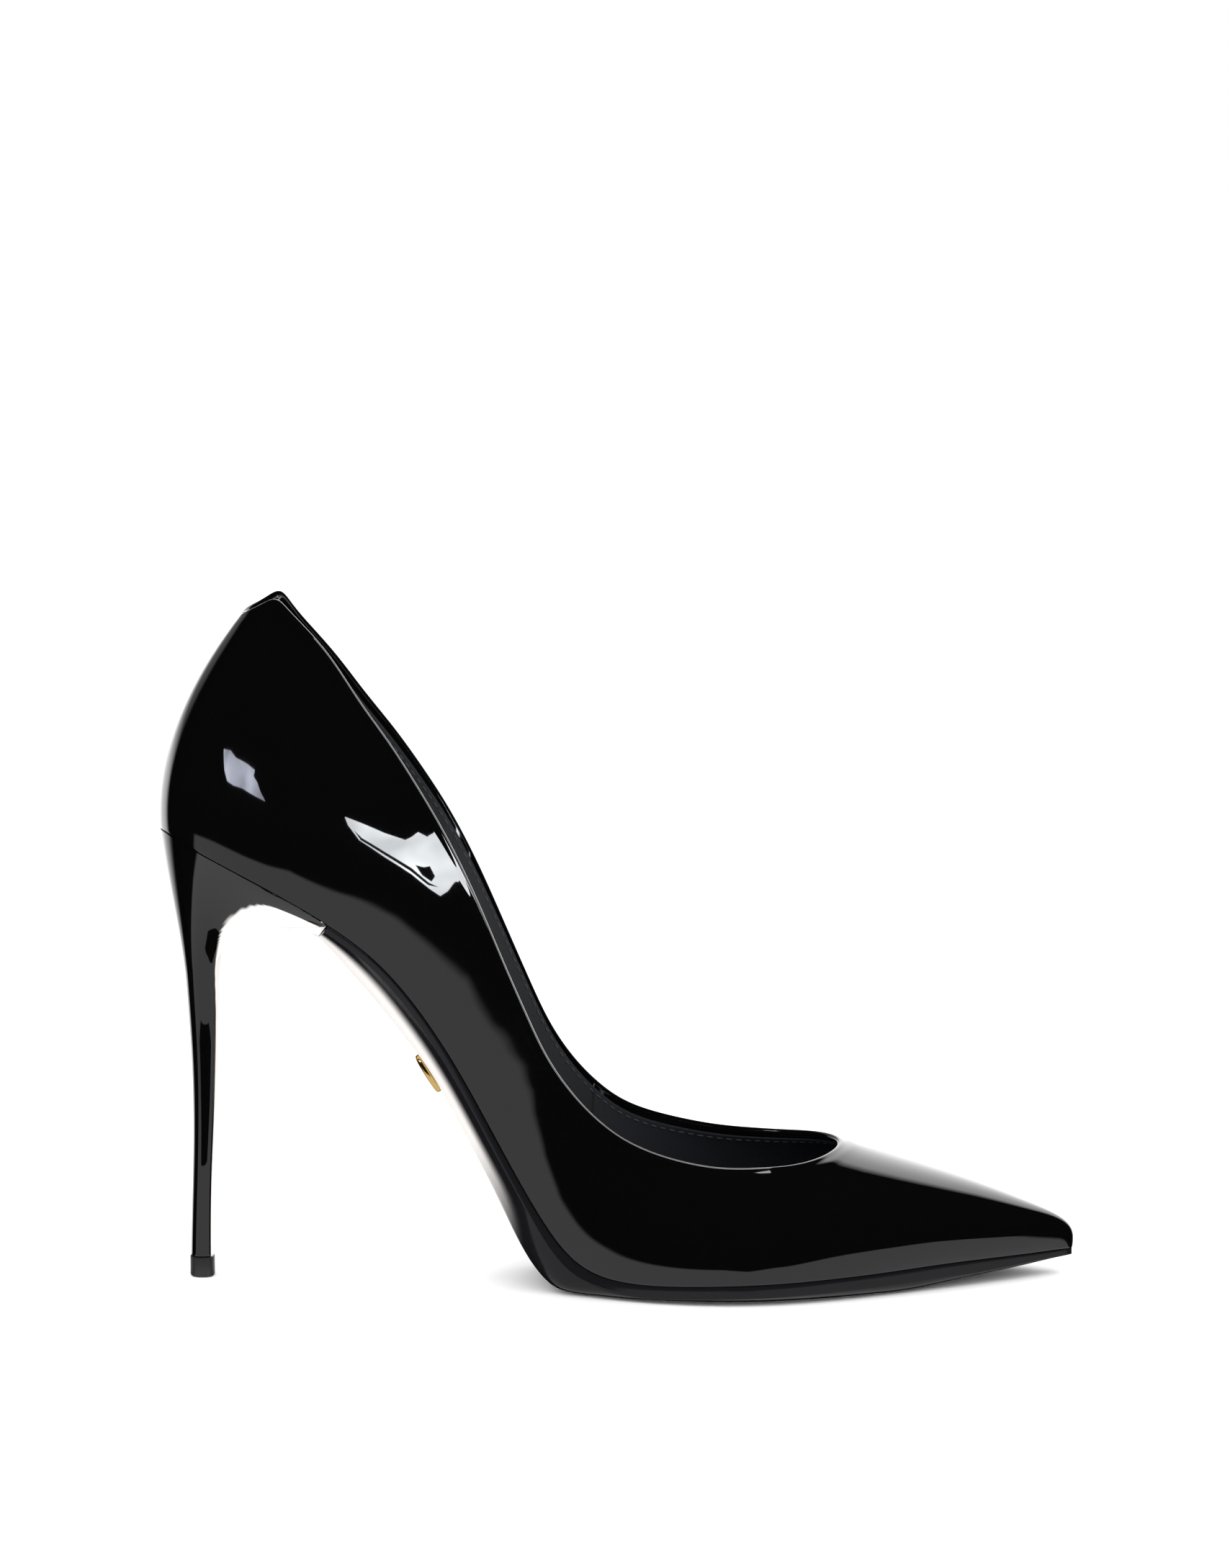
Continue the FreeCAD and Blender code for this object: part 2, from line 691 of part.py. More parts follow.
def ring_point(side, along, z, back, front, half_width):
    """Point of a stem ring: rounded at the back, flatter at the breast."""
    angle = math.pi * along
    c, s = math.cos(angle), math.sin(angle)
    power = 2.0 / (2.1 if c > 0 else 2.6)
    x = (back + front) / 2 - (front - back) / 2 * math.copysign(abs(c) ** power, c)
    return V(x, side * half_width * abs(s) ** power, z)


def heel_profile(side, along):
    """Points from the seat edge down the flare and the stem."""
    start = heel_edge(side, along)
    leave = [f(along) for f in HEEL_LEAVE]
    leave = V(leave[0], -side * leave[1], leave[2])
    z, back, front, half_width = STEM[0]
    end = ring_point(side, along, z, back, front, half_width)
    arrive = V(3.0 * (1 - along), 0, -36.0 - 40.0 * along ** 2)
    line = []
    for t in [0.0, 0.05, 0.12, 0.21, 0.32, 0.44, 0.56, 0.68, 0.8, 0.9]:
        line.append(
            start * (2 * t ** 3 - 3 * t ** 2 + 1) + leave * (t ** 3 - 2 * t ** 2 + t)
            + end * (3 * t ** 2 - 2 * t ** 3) + arrive * (t ** 3 - t ** 2))
    for z, back, front, half_width in STEM:
        line.append(ring_point(side, along, z, back, front, half_width))
    return line


def heel_grid(gap=0.0):
    """Rows down the heel, columns from the front centre, lateral, round the back to the front, medial."""
    alongs = [1.0 - gap] + [1.0 - i / 24.0 for i in range(1, 24)]
    profiles = [heel_profile(-1, a) for a in alongs]
    profiles.append(heel_profile(1, 0.0))
    profiles += [heel_profile(1, a) for a in reversed(alongs)]
    return [[profile[i] for profile in profiles] for i in range(len(profiles[0]))]


def inside_heel(depth, gap=0.0):
    """Heel grid at a depth inside its surface, kept under the seat and above the top piece."""
    grid = heel_grid(gap)
    sign = 1 if (offset_grid(grid, 1.0)[-1][24] - grid[-1][24]).x > 0 else -1
    inner = offset_grid(grid, sign * depth)
    for i, row in enumerate(inner):
        for j, q in enumerate(row):
            p = grid[i][j]
            if i == len(grid) - 1:
                q.z = p.z
            elif i == 0:
                q.x = mix(p.x, 22.0, depth / 22.0)
                q.y = p.y * (1 - depth / 24.0)
            limit = seat_z(q.x) - FIT - 0.3 * i
            q.z = min(q.z, limit)
    return inner


COVER_SEAM_GAP = 0.003       # half of the cover's closed seam down the breast, share of the edge


def heel_cover():
    return solid_between(heel_grid(COVER_SEAM_GAP), inside_heel(HEEL_COVER, COVER_SEAM_GAP))


def heel_core():
    """Moulded heel: two halves of one surface closed by the seat and the foot of the stem."""
    grid = inside_heel(HEEL_COVER + 2 * FIT)
    for row in grid:
        row[24] = V(row[24].x, 0, row[24].z)
        row[0] = row[-1] = V((row[0].x + row[-1].x) / 2, 0, (row[0].z + row[-1].z) / 2)
    lateral = [row[:25] for row in grid]
    medial = [row[24:][::-1] for row in grid]
    body = sewn([
        surface_through(lateral), surface_through(medial),
        strip_between(lateral[0], medial[0]), strip_between(lateral[-1], medial[-1])])
    for cutter in [heel_tube_bore()] + heel_fastener_shapes():
        body = body.cut(cutter)
    return body


STEM_AXIS_FOOT = V(9.85, 0, TOP_PIECE_HEIGHT + 1.0)
STEM_AXIS = V(0.9, 0, 60.0)
TUBE_LENGTH = 62.0
DOWEL_LENGTH = 18.0
DOWEL_IN_TOP_PIECE = 4.2     # length of the dowel below the foot of the tube


def heel_tube_bore():
    below = 1.5
    return rod(STEM_AXIS_FOOT - unit(STEM_AXIS) * below, STEM_AXIS, TUBE_RADIUS + FIT, TUBE_LENGTH + below)


def heel_tube():
    tube = rod(STEM_AXIS_FOOT, STEM_AXIS, TUBE_RADIUS, TUBE_LENGTH)
    return tube.cut(rod(STEM_AXIS_FOOT, STEM_AXIS, DOWEL_RADIUS, TUBE_LENGTH))


SEAT_NORMAL = V(-0.40, 0, -0.92)
HEAD_LEVEL = BOARD + 0.15    # underside of the heads, over the featherline
SCREW_RADIUS = 2.0
NAIL_RADIUS = 0.75
RIVET_RADIUS = 1.3
RIVET_STATIONS = (6.3, 9.6)
SCREW_PLACE = V(14.5, 0, 109.9)
NAIL_PLACES = [(10.0, -8.0), (10.0, 8.0), (21.0, -9.0), (21.0, 9.0)]
SCREW_LENGTH = 20.0
SCREW_HEAD = (3.6, 1.0)      # radius, height
NAIL_LENGTH = 11.0
NAIL_HEAD = (1.6, 0.5)
RIVET_HEAD = (2.2, 0.5)


def heel_fastener_shapes():
    """Screw and nails that hold the heel to the insole board, seen as cylinders."""
    head = V(SCREW_PLACE.x, 0, seat_z(SCREW_PLACE.x)) - SEAT_NORMAL * HEAD_LEVEL
    shapes = [rod(head, SEAT_NORMAL, SCREW_RADIUS, SCREW_LENGTH)]
    for x, y in NAIL_PLACES:
        top = V(x, y, seat_z(x)) - SEAT_NORMAL * HEAD_LEVEL
        shapes.append(rod(top, SEAT_NORMAL, NAIL_RADIUS, NAIL_LENGTH))
    return shapes


def heel_screw():
    head = V(SCREW_PLACE.x, 0, seat_z(SCREW_PLACE.x)) - SEAT_NORMAL * HEAD_LEVEL
    return heel_fastener_shapes()[0].fuse(rod(head, SEAT_NORMAL * -1, *SCREW_HEAD))


def heel_nails():
    nails = []
    for (x, y), shaft in zip(NAIL_PLACES, heel_fastener_shapes()[1:]):
        top = V(x, y, seat_z(x)) - SEAT_NORMAL * HEAD_LEVEL
        nails.append(shaft.fuse(rod(top, SEAT_NORMAL * -1, *NAIL_HEAD)))
    return Part.makeCompound(nails)


def shank_rivet_shapes():
    shapes = []
    for s in RIVET_STATIONS:
        left, right, out = seat_frame(s)
        middle = mix(left, right, 0.5) + out * crown_at(s)
        shapes.append(rod(middle - out * HEAD_LEVEL, out, RIVET_RADIUS, HEAD_LEVEL + SHANK_THICK))
    return shapes


def shank_rivets():
    rivets = []
    for s, shaft in zip(RIVET_STATIONS, shank_rivet_shapes()):
        left, right, out = seat_frame(s)
        top = mix(left, right, 0.5) + out * (crown_at(s) - HEAD_LEVEL)
        rivets.append(shaft.fuse(rod(top, out * -1, *RIVET_HEAD)))
    return Part.makeCompound(rivets)


def top_piece_outline(z):
    """Closed outline of the heel's rubber foot, 0.2 wider than the stem."""
    points = []
    _, back, front, half_width = STEM[-1]
    for i in range(28):
        angle = 2 * math.pi * i / 28
        side = 1 if angle <= math.pi else -1
        along = angle / math.pi if angle <= math.pi else 2 - angle / math.pi
        points.append(ring_point(side, along, z, back - 0.2, front + 0.2, half_width + 0.2))
    curve = Part.BSplineCurve()
    curve.interpolate(Points=points, PeriodicFlag=True)
    return Part.Wire(curve.toShape())


def top_piece():
    block = Part.Face(top_piece_outline(0.0)).extrude(V(0, 0, TOP_PIECE_HEIGHT))
    return block.cut(dowel_shape())


def dowel_shape():
    start = STEM_AXIS_FOOT - unit(V(STEM_AXIS)) * DOWEL_IN_TOP_PIECE
    return rod(start, STEM_AXIS, DOWEL_RADIUS, DOWEL_LENGTH)


def top_piece_dowel():
    return dowel_shape()


# ---- sole plaque ----
PLAQUE_X = 68.4
PLAQUE_LENGTH = 11.0
PLAQUE_WIDTH = 6.0
PLAQUE_THICK = 1.7
PLAQUE_Y = -1.8
PLAQUE_LIFT = 0.12           # stands clear of the sole, which is convex
PLAQUE_EDGE = 0.6            # rounding of its rim
PIN_RADIUS = 0.5
PIN_LENGTH = 2.4
PIN_PLACES = (-3.0, 3.0)


def plaque_frame():
    """Centre on the sole's bottom line, direction along it and out of it."""
    z = bottom_line(PLAQUE_X)
    slope = (bottom_line(PLAQUE_X + 1) - bottom_line(PLAQUE_X - 1)) / 2
    along = unit(V(1, 0, slope))
    out = V(along.z, 0, -along.x)
    return V(PLAQUE_X, PLAQUE_Y, z), along, out


def on_plaque(shape, lift):
    """Move a shape drawn flat at the origin to the plaque's place."""
    centre, along, out = plaque_frame()
    matrix = FreeCAD.Matrix(
        along.x, 0, out.x, centre.x + out.x * lift,
        along.y, -1, out.y, centre.y + out.y * lift,
        along.z, 0, out.z, centre.z + out.z * lift,
        0, 0, 0, 1)
    placed = shape.copy()
    placed.Placement = FreeCAD.Placement(matrix)
    return placed


def sole_plaque():
    """Plain oval plate with a raised middle."""
    rim = Part.Ellipse(V(0, 0, 0), PLAQUE_LENGTH / 2, PLAQUE_WIDTH / 2)
    plate = Part.Face(Part.Wire(rim.toShape())).extrude(V(0, 0, PLAQUE_THICK))
    edge = [e for e in plate.Edges if abs(e.CenterOfMass.z - PLAQUE_THICK) < 1e-6]
    plate = plate.makeFillet(PLAQUE_EDGE, edge)
    return on_plaque(plate, PLAQUE_LIFT)


def plaque_pins():
    pins = []
    for x in PIN_PLACES:
        pin = rod(V(x, 0, -PIN_LENGTH), V(0, 0, 1), PIN_RADIUS, PIN_LENGTH)
        pins.append(on_plaque(pin, PLAQUE_LIFT))
    return Part.makeCompound(pins)


# ---- assembly ----
def cut_by(body, cutters):
    for cutter in cutters:
        body = body.cut(cutter)
    return body


def build():
    nodes = {
        "upper": upper(),
        "topline_tape": topline_tape(),
        "back_seam_tape": back_seam_tape(),
        "toe_puff": toe_puff(),
        "heel_counter": heel_counter(),
        "vamp_lining": vamp_lining(),
        "quarter_lining_lateral": quarter_lining_lateral(),
        "quarter_lining_medial": quarter_lining_medial(),
        "heel_grip": heel_grip(),
        "insole_board": cut_by(insole_board(), heel_fastener_shapes() + shank_rivet_shapes()),
        "insock_pad": cut_by(insock_pad(), [heel_screw(), heel_nails(), shank_rivets()]),
        "sock_liner": sock_liner(),
        "shank": cut_by(shank(), shank_rivet_shapes()),
        "shank_rivets": shank_rivets(),
        "forefoot_filler": forefoot_filler(),
        "outsole": cut_by(outsole(), [plaque_pins()]),
        "heel_core": heel_core(),
        "heel_cover": heel_cover(),
        "heel_tube": heel_tube(),
        "heel_screw": heel_screw(),
        "heel_nails": heel_nails(),
        "top_piece": top_piece(),
        "top_piece_dowel": top_piece_dowel(),
        "sole_plaque": sole_plaque(),
        "plaque_pins": plaque_pins(),
    }
    return nodes


def main():
    os.makedirs("parts", exist_ok=True)
    nodes = build()
    box = FreeCAD.BoundBox()
    for shape in nodes.values():
        box.add(shape.optimalBoundingBox(False, False))
    shift = V(-box.Center.x, -box.Center.y, 0)
    print("moved by", shift)
    for name, shape in nodes.items():
        shape.translate(shift)
        solids = shape.Solids
        shape = solids[0] if len(solids) == 1 else Part.makeCompound(solids)
        shape.exportStep(os.path.join("parts", name + ".step"))
        print(name, len(solids), shape.isValid(), round(shape.Volume, 1))


main()
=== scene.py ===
"""Black patent court shoe with a stiletto heel: the look of it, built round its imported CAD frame.

Lengths in the shape code are millimetres, with x = 0 at the back of the heel seat and y = 0 on the
back seam. to_frame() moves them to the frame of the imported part, in metres.
"""

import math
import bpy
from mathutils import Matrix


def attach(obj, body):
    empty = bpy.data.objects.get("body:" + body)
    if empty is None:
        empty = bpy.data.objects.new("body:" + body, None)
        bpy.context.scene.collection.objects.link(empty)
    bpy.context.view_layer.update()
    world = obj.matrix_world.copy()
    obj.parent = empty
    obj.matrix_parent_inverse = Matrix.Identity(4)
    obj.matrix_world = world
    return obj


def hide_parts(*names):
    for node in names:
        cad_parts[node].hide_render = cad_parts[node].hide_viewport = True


bl_info = {
    "name": "Patent court shoe",
    "version": (1, 0, 0),
    "blender": (4, 2, 0),
    "location": "View3D > Sidebar > Shoe",
    "description": "Builds a black patent court shoe with a stiletto heel round its CAD frame",
    "category": "Object",
}

import bpy
import numpy as np

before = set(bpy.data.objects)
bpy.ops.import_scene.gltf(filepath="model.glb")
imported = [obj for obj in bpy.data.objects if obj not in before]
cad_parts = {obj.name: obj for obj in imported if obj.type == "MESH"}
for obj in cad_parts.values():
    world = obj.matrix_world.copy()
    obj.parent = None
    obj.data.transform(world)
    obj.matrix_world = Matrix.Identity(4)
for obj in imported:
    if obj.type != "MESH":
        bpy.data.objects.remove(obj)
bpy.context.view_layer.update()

# Centre of the shoe's box at the floor, in the coordinates of the shape code.
ORIGIN = np.array([115.8054, -0.212, 0.0])

# Depths under the outside of the patent leather.
FOLDED_EDGE = 1.9
LINING_FACE = 1.95
LINING = 0.7
GRIP = 0.5
FOOT_EDGE = LINING_FACE + LINING + GRIP + 0.15
BOARD_AND_PAD = 3.95
SOCK = 0.8

# Sizes of single pieces.
LINING_TOP_EDGE = 2.3        # the folded band of patent above it stays in sight
STITCH_LINE = 3.7            # distance of the stitches from the top edge
STITCH_PITCH = 2.5
STITCH_HALF = (0.85, 0.17, 0.22)     # half the length, width and height of one stitch
FOOT_RADIUS = 0.7            # rounding of the upper where it meets the sole
SOLE_INSET = 0.5
SOLE_TOP = 0.1               # gap between the upper and the sole
SOLE_EDGE_RADIUS = 0.35
PALE_END = 92.0              # the natural leather under the waist, with the painted reflection graded into it, turns black here
HEEL_FRONT_X = 43.2          # front lip of the heel's seat
HEEL_CENTRE = (22.0, 0.0, 0.0)
TOP_PIECE_HEIGHT = 5.0
TOP_PIECE_LIP = 0.2          # how far the top piece stands out past the stem
PLAQUE_PLACE = (68.4, -1.8)
PLAQUE_HALF = (5.5, 3.0, 0.85)       # half its length, width and thickness
PLAQUE_LIFT = 0.12
PLAQUE_EDGE = 0.0006         # rounding of its edge, m

# Stations from the back seam to the toe tip, both sides of the foot.
# featherline x, lateral y, medial y, z | upper guide x, half width, z |
# bulge outward, bulge upward (just above the featherline) | lean outward, drop (just below the guide)
STATIONS = np.array([
    (0.1, 0.0, 0.0, 115.2, 26.0, 0.0, 175.5, 1.1, 18.0, 19.3, 22.5),
    (2.2, -9.6, 9.6, 115.1, 27.4, 5.0, 177.6, 1.3, 18.0, 17.0, 22.5),
    (7.5, -16.6, 16.6, 112.9, 31.2, 8.8, 179.0, 1.6, 18.5, 13.0, 22.5),
    (16.0, -21.4, 21.3, 108.9, 37.0, 11.4, 177.0, 1.9, 19.0, 9.5, 22.0),
    (29.0, -24.7, 23.8, 102.4, 45.5, 13.8, 167.0, 2.0, 19.0, 7.0, 21.0),
    (43.0, -24.2, 22.4, 94.0, 56.0, 17.2, 153.5, 2.1, 18.0, 4.6, 19.0),
    (57.5, -22.4, 18.8, 82.0, 67.5, 19.9, 137.0, 2.0, 17.0, 2.2, 17.5),
    (71.5, -21.2, 15.2, 63.2, 79.5, 21.0, 115.0, 1.6, 16.0, 0.6, 16.0),
    (83.0, -21.6, 13.8, 42.8, 89.5, 22.0, 92.0, 1.6, 15.0, 0.5, 14.0),
    (94.0, -23.2, 15.0, 22.9, 99.0, 22.8, 72.5, 1.0, 14.5, 0.7, 11.0),
    (104.5, -26.6, 18.4, 9.3, 108.5, 23.0, 59.0, 1.0, 14.0, 2.6, 7.5),
    (116.5, -31.6, 25.6, 4.9, 118.5, 20.8, 50.6, 1.0, 13.5, 8.4, 5.2),
    (130.0, -35.9, 32.6, 4.7, 130.5, 16.6, 45.4, 1.4, 12.0, 15.0, 3.6),
    (144.0, -37.4, 36.3, 5.1, 143.5, 10.2, 41.7, 2.0, 11.5, 20.5, 2.2),
    (157.0, -35.9, 36.6, 5.4, 156.0, 4.0, 38.9, 2.6, 11.0, 25.0, 0.9),
    (169.5, -31.9, 33.6, 5.7, 169.0, 0.0, 35.5, 3.1, 10.0, 28.5, 0.0),
    (182.0, -26.3, 29.0, 6.0, 182.0, 0.0, 31.4, 3.3, 8.6, 25.5, 0.0),
    (195.0, -19.5, 23.0, 6.4, 195.0, 0.0, 27.3, 3.4, 7.4, 20.6, 0.0),
    (208.0, -12.3, 16.6, 6.5, 208.0, 0.0, 22.9, 3.0, 6.0, 14.6, 0.0),
    (219.0, -5.8, 11.0, 6.4, 219.0, 0.0, 18.6, 2.2, 4.8, 9.2, 0.0),
    (226.8, -0.9, 6.8, 6.4, 227.2, 0.0, 14.9, 1.2, 3.6, 4.4, 0.0),
    (230.6, 1.6, 4.5, 6.4, 231.2, 0.0, 11.0, 0.4, 2.0, 1.5, 0.0),
    (231.4, 3.1, 3.1, 6.4, 231.4, 0.0, 6.4, 0.0, 0.0, 0.0, 0.0),
])
LAST, RIDGE, BALL = 22, 15, 11

# Side view of the top edge: x, z on the lateral side, z on the medial side.
TOPLINE = np.array([
    (21.0, 169.6, 169.6), (22.4, 170.7, 170.7), (25.0, 172.2, 171.9), (28.0, 173.8, 173.6),
    (30.3, 174.3, 174.0), (33.2, 172.2, 170.6), (38.0, 167.4, 164.6), (44.2, 160.2, 157.2),
    (51.4, 149.6, 147.4), (58.6, 139.6, 138.0), (65.8, 128.4, 127.7), (72.9, 115.9, 116.3),
    (80.1, 100.8, 102.0), (87.2, 83.9, 85.5), (92.6, 71.4, 72.8), (96.7, 62.6, 63.8),
    (101.8, 54.5, 55.3), (108.6, 46.9, 47.3), (115.8, 41.4, 41.4), (123.0, 38.0, 38.0),
    (130.5, 35.7, 35.8), (141.0, 33.7, 33.9), (151.0, 33.1, 33.4), (159.0, 33.1, 33.6),
    (166.6, 33.9, 34.3), (171.5, 34.8, 34.8), (180.0, 36.5, 36.5),
])

# Bottom centre line of the sole: x, z.
SOLE_BOTTOM = np.array([
    (36.0, 90.6), (40.0, 87.9), (46.3, 80.9), (53.9, 72.0), (61.2, 62.9), (68.4, 52.9), (75.7, 39.6),
    (82.9, 25.6), (90.2, 11.6), (94.6, 5.2), (99.0, 1.2), (104.0, -0.1), (120.0, -0.2), (150.0, -0.2),
    (180.0, -0.2), (190.0, 0.1), (197.0, 0.9), (204.0, 1.8), (211.0, 2.5), (218.0, 3.2), (225.0, 4.0),
    (231.4, 4.6),
])

# Heel stem rings: z, back x, front x, half width.
STEM = [
    (76.0, 6.2, 15.3, 6.0), (66.0, 6.9, 15.0, 5.3), (54.0, 7.5, 14.5, 4.75), (41.0, 7.7, 13.9, 4.3),
    (28.0, 7.5, 13.2, 3.9), (15.0, 7.1, 12.8, 3.65), (5.05, 6.85, 12.7, 3.5),
]


# ---- small maths, on arrays ----
class Spline:
    """Natural cubic spline through rows of values at given parameters."""

    def __init__(self, ts, vs):
        self.t = np.asarray(ts, float)
        n, h = len(self.t), np.diff(self.t)
        self.h = h
        self.shape = np.shape(vs)[1:]
        self.v = np.asarray(vs, float).reshape(n, -1)
        system, right = np.eye(n), np.zeros(self.v.shape)
        slopes = np.diff(self.v, axis=0) / h[:, None]
        for i in range(1, n - 1):
            system[i, i - 1:i + 2] = h[i - 1], 2 * (h[i - 1] + h[i]), h[i]
            right[i] = 6 * (slopes[i] - slopes[i - 1])
        self.m = np.linalg.solve(system, right)

    def __call__(self, t):
        t = np.asarray(t, float)
        flat = t.reshape(-1, 1)
        i = np.clip(np.searchsorted(self.t, flat[:, 0]) - 1, 0, len(self.h) - 1)
        h = self.h[i][:, None]
        p, q = (self.t[i + 1][:, None] - flat) / h, (flat - self.t[i][:, None]) / h
        bend = (p ** 3 - p) * self.m[i] + (q ** 3 - q) * self.m[i + 1]
        return (p * self.v[i] + q * self.v[i + 1] + bend * h * h / 6).reshape(t.shape + self.shape)


def unit(v):
    """Vectors of length 1."""
    return v / np.maximum(np.linalg.norm(v, axis=-1, keepdims=True), 1e-9)


def mix(a, b, w):
    """From a at w = 0 to b at w = 1."""
    return a * (1 - w) + b * w


def smooth(w):
    """Ease from 0 to 1."""
    w = np.clip(w, 0, 1)
    return w * w * (3 - 2 * w)


def vec(x, y, z):
    return np.stack(np.broadcast_arrays(x, y, z), axis=-1).astype(float)


# ---- the last: the surface that the upper is stretched over ----
def plan_outward(line, ks):
    """Outward level direction along a plan line of station points."""
    along = np.zeros_like(line)
    along[1:-1] = line[2:] - line[:-2]
    out = unit(vec(along[:, 1], -along[:, 0], 0.0))
    out[out[:, 1] * ks < -0.2] *= -1
    out[ks == 0] = (-1, 0, 0)
    out[abs(ks) == LAST] = (1, 0, 0)
    return out


def control_rows():
    """Four rows of control points, one column for each signed station (negative is lateral)."""
    ks = np.arange(-LAST, LAST + 1)
    table = STATIONS[abs(ks)]
    side = np.where(ks > 0, 1.0, -1.0)
    ridge = 3.1 * np.maximum(0.0, (table[:, 4] - 150.0) / 81.4) ** 1.3
    feet = vec(table[:, 0], np.where(ks > 0, table[:, 2], table[:, 1]), table[:, 3])
    tops = vec(table[:, 4], ridge + side * table[:, 5], table[:, 6])
    turn = np.clip((abs(ks) - 8.0) / (RIDGE - 8.0), 0, 1)[:, None]
    out_foot = plan_outward(feet, ks)
    out_top = unit(mix(plan_outward(tops, ks), vec(0, side, 0), turn))
    out_top[ks == 0] = (-1, 0, 0)
    bulge, rise, lean, drop = table[:, 7:].T
    lower = feet + out_foot * bulge[:, None] + vec(0, 0, rise)
    upper = tops + out_top * lean[:, None] - vec(0, 0, drop)
    return np.stack([feet, lower, upper, tops])


def offset_rows(rows, depth):
    """The same control rows a given depth inside the leather, squeezed near the toe tip."""
    ks = np.arange(-LAST, LAST + 1)
    width = np.maximum(0.5, (STATIONS[abs(ks), 2] - STATIONS[abs(ks), 1]) / 2)
    room = np.where(abs(ks) >= RIDGE, 0.6 * width, 1000.0)
    d = (room * (1 - np.exp(-depth / room)))[:, None]
    inside = []
    for j in range(4):
        along = np.concatenate([
            rows[j, 1:2] - rows[j, :1], rows[j, 2:] - rows[j, :-2], rows[j, -1:] - rows[j, -2:-1]])
        up = np.array([0.0, 0.0, 1.0]) if j == 0 else rows[min(3, j + 1)] - rows[j - 1]
        row = rows[j] + unit(np.cross(along, up)) * d
        for end in (0, -1):
            row[end] = rows[j, end] - np.array([2.2 * d[end, 0], 0, 0])
        inside.append(row)
    return np.stack(inside)


class Last:
    """Points of the last at signed station s and height t, at a few depths with the rest mixed between."""

    depths = [0.0, 1.0, 1.95, 2.65, 3.3, 5.0]

    def __init__(self):
        ks = np.arange(-LAST, LAST + 1)
        rows = control_rows()
        self.layers = []
        for depth in self.depths:
            moved = offset_rows(rows, depth) if depth else rows
            self.layers.append([Spline(ks, row) for row in moved])

    def layer(self, i, s, t):
        t = np.asarray(t, float)[..., None]
        weights = (1 - t) ** 3, 3 * t * (1 - t) ** 2, 3 * t * t * (1 - t), t ** 3
        return sum(w * row(s) for w, row in zip(weights, self.layers[i]))

    def __call__(self, s, t, depth=0.0):
        s, t, depth = np.broadcast_arrays(np.asarray(s, float), t, depth)
        at = np.array(self.depths)
        lower = np.clip(np.searchsorted(at, depth, side="right") - 1, 0, len(at) - 2)
        share = (depth - at[lower]) / (at[lower + 1] - at[lower])
        point = np.zeros(s.shape + (3,))
        for i in np.unique(lower):
            pick = lower == i
            w = share[pick][:, None]
            point[pick] = mix(self.layer(i, s[pick], t[pick]), self.layer(i + 1, s[pick], t[pick]), w)
        return point


LAST_FORM = Last()


def top_heights(side):
    """Height t of the top edge at many stations of one side; 1 on the vamp ridge."""
    s = np.linspace(0, RIDGE + 1.5, 1651)
    edge = Spline(TOPLINE[:, 0], TOPLINE[:, 1 if side < 0 else 2])

    def above(t):
        p = LAST_FORM(side * s, t)
        return p[:, 2] - edge(np.clip(p[:, 0], 21.0, 180.0))

    low, high = np.full(s.shape, 0.3), np.ones(s.shape)
    for _ in range(30):
        middle = (low + high) / 2
        over = above(middle) > 0
        high, low = np.where(over, middle, high), np.where(over, low, middle)
    return s, np.where(above(np.ones(s.shape)) <= 0, 1.0, (low + high) / 2)


def arc_length(points, axis=0):
    steps = np.linalg.norm(np.diff(points, axis=axis), axis=-1)
    return np.concatenate([np.zeros_like(np.take(steps, [0], axis)), np.cumsum(steps, axis)], axis)


class Fan:
    """Grid lines of one side: c 0 is the toe ridge, 1 the ball, 2 the back seam; tau 0 foot, 1 top edge."""

    def __init__(self, side):
        self.side = side
        self.top_table = top_heights(side)
        s, t = self.top_table
        self.throat = s[t < 1.0].max()
        w = np.linspace(0, 1, 121)
        self.foot_s = LAST - (LAST - BALL) * w ** 1.5
        self.top_s = self.throat - (self.throat - BALL) * w ** 2
        self.foot_arc = arc_length(LAST_FORM(side * self.foot_s, 0.0))
        self.top_arc = arc_length(LAST_FORM(side * self.top_s, self.top_t(self.top_s)))
        k = np.arange(LAST + 1)
        lines = LAST_FORM(side * k[:, None], np.linspace(0, 1, 13)[None])
        self.arc = Spline(k, arc_length(lines, 1)[:, -1])

    def top_t(self, s):
        return np.interp(s, *self.top_table)

    def place(self, c, tau):
        """Station and height of grid points."""
        c, tau = np.broadcast_arrays(np.asarray(c, float), tau)
        back = BALL * (2.0 - c)
        front = np.minimum(c, 1.0)
        foot = np.interp(front ** 1.5 * self.foot_arc[-1], self.foot_arc, self.foot_s)
        top = np.interp(front * self.top_arc[-1], self.top_arc, self.top_s)
        s = mix(foot, top, tau)
        narrowing = tau * self.arc(self.throat) / self.arc(mix(float(LAST), self.throat, tau))
        t = self.top_t(top) * tau * self.arc(top) / self.arc(s)
        t = np.minimum(1.0, t / np.maximum(narrowing, 1e-6) ** ((1 - front) ** 2))
        s = np.where(tau <= 0, foot, s)
        t = np.where(tau <= 0, 0.0, np.where(c <= 0, 1.0, t))
        return np.where(c >= 1, back, s), np.where(c >= 1, tau * self.top_t(back), t)


FANS = {-1: Fan(-1), 1: Fan(1)}


def fan_points(c, tau, depth):
    """Points of a layer: c runs from -2 (back seam, lateral) over 0 (toe) to 2 (back seam, medial)."""
    c, tau, depth = np.broadcast_arrays(np.asarray(c, float), tau, depth)
    points = np.zeros(c.shape + (3,))
    for side in (-1, 1):
        pick = (c < 0) if side < 0 else (c >= 0)
        s, t = FANS[side].place(abs(c[pick]), tau[pick])
        points[pick] = LAST_FORM(side * s, t, depth[pick])
    return points


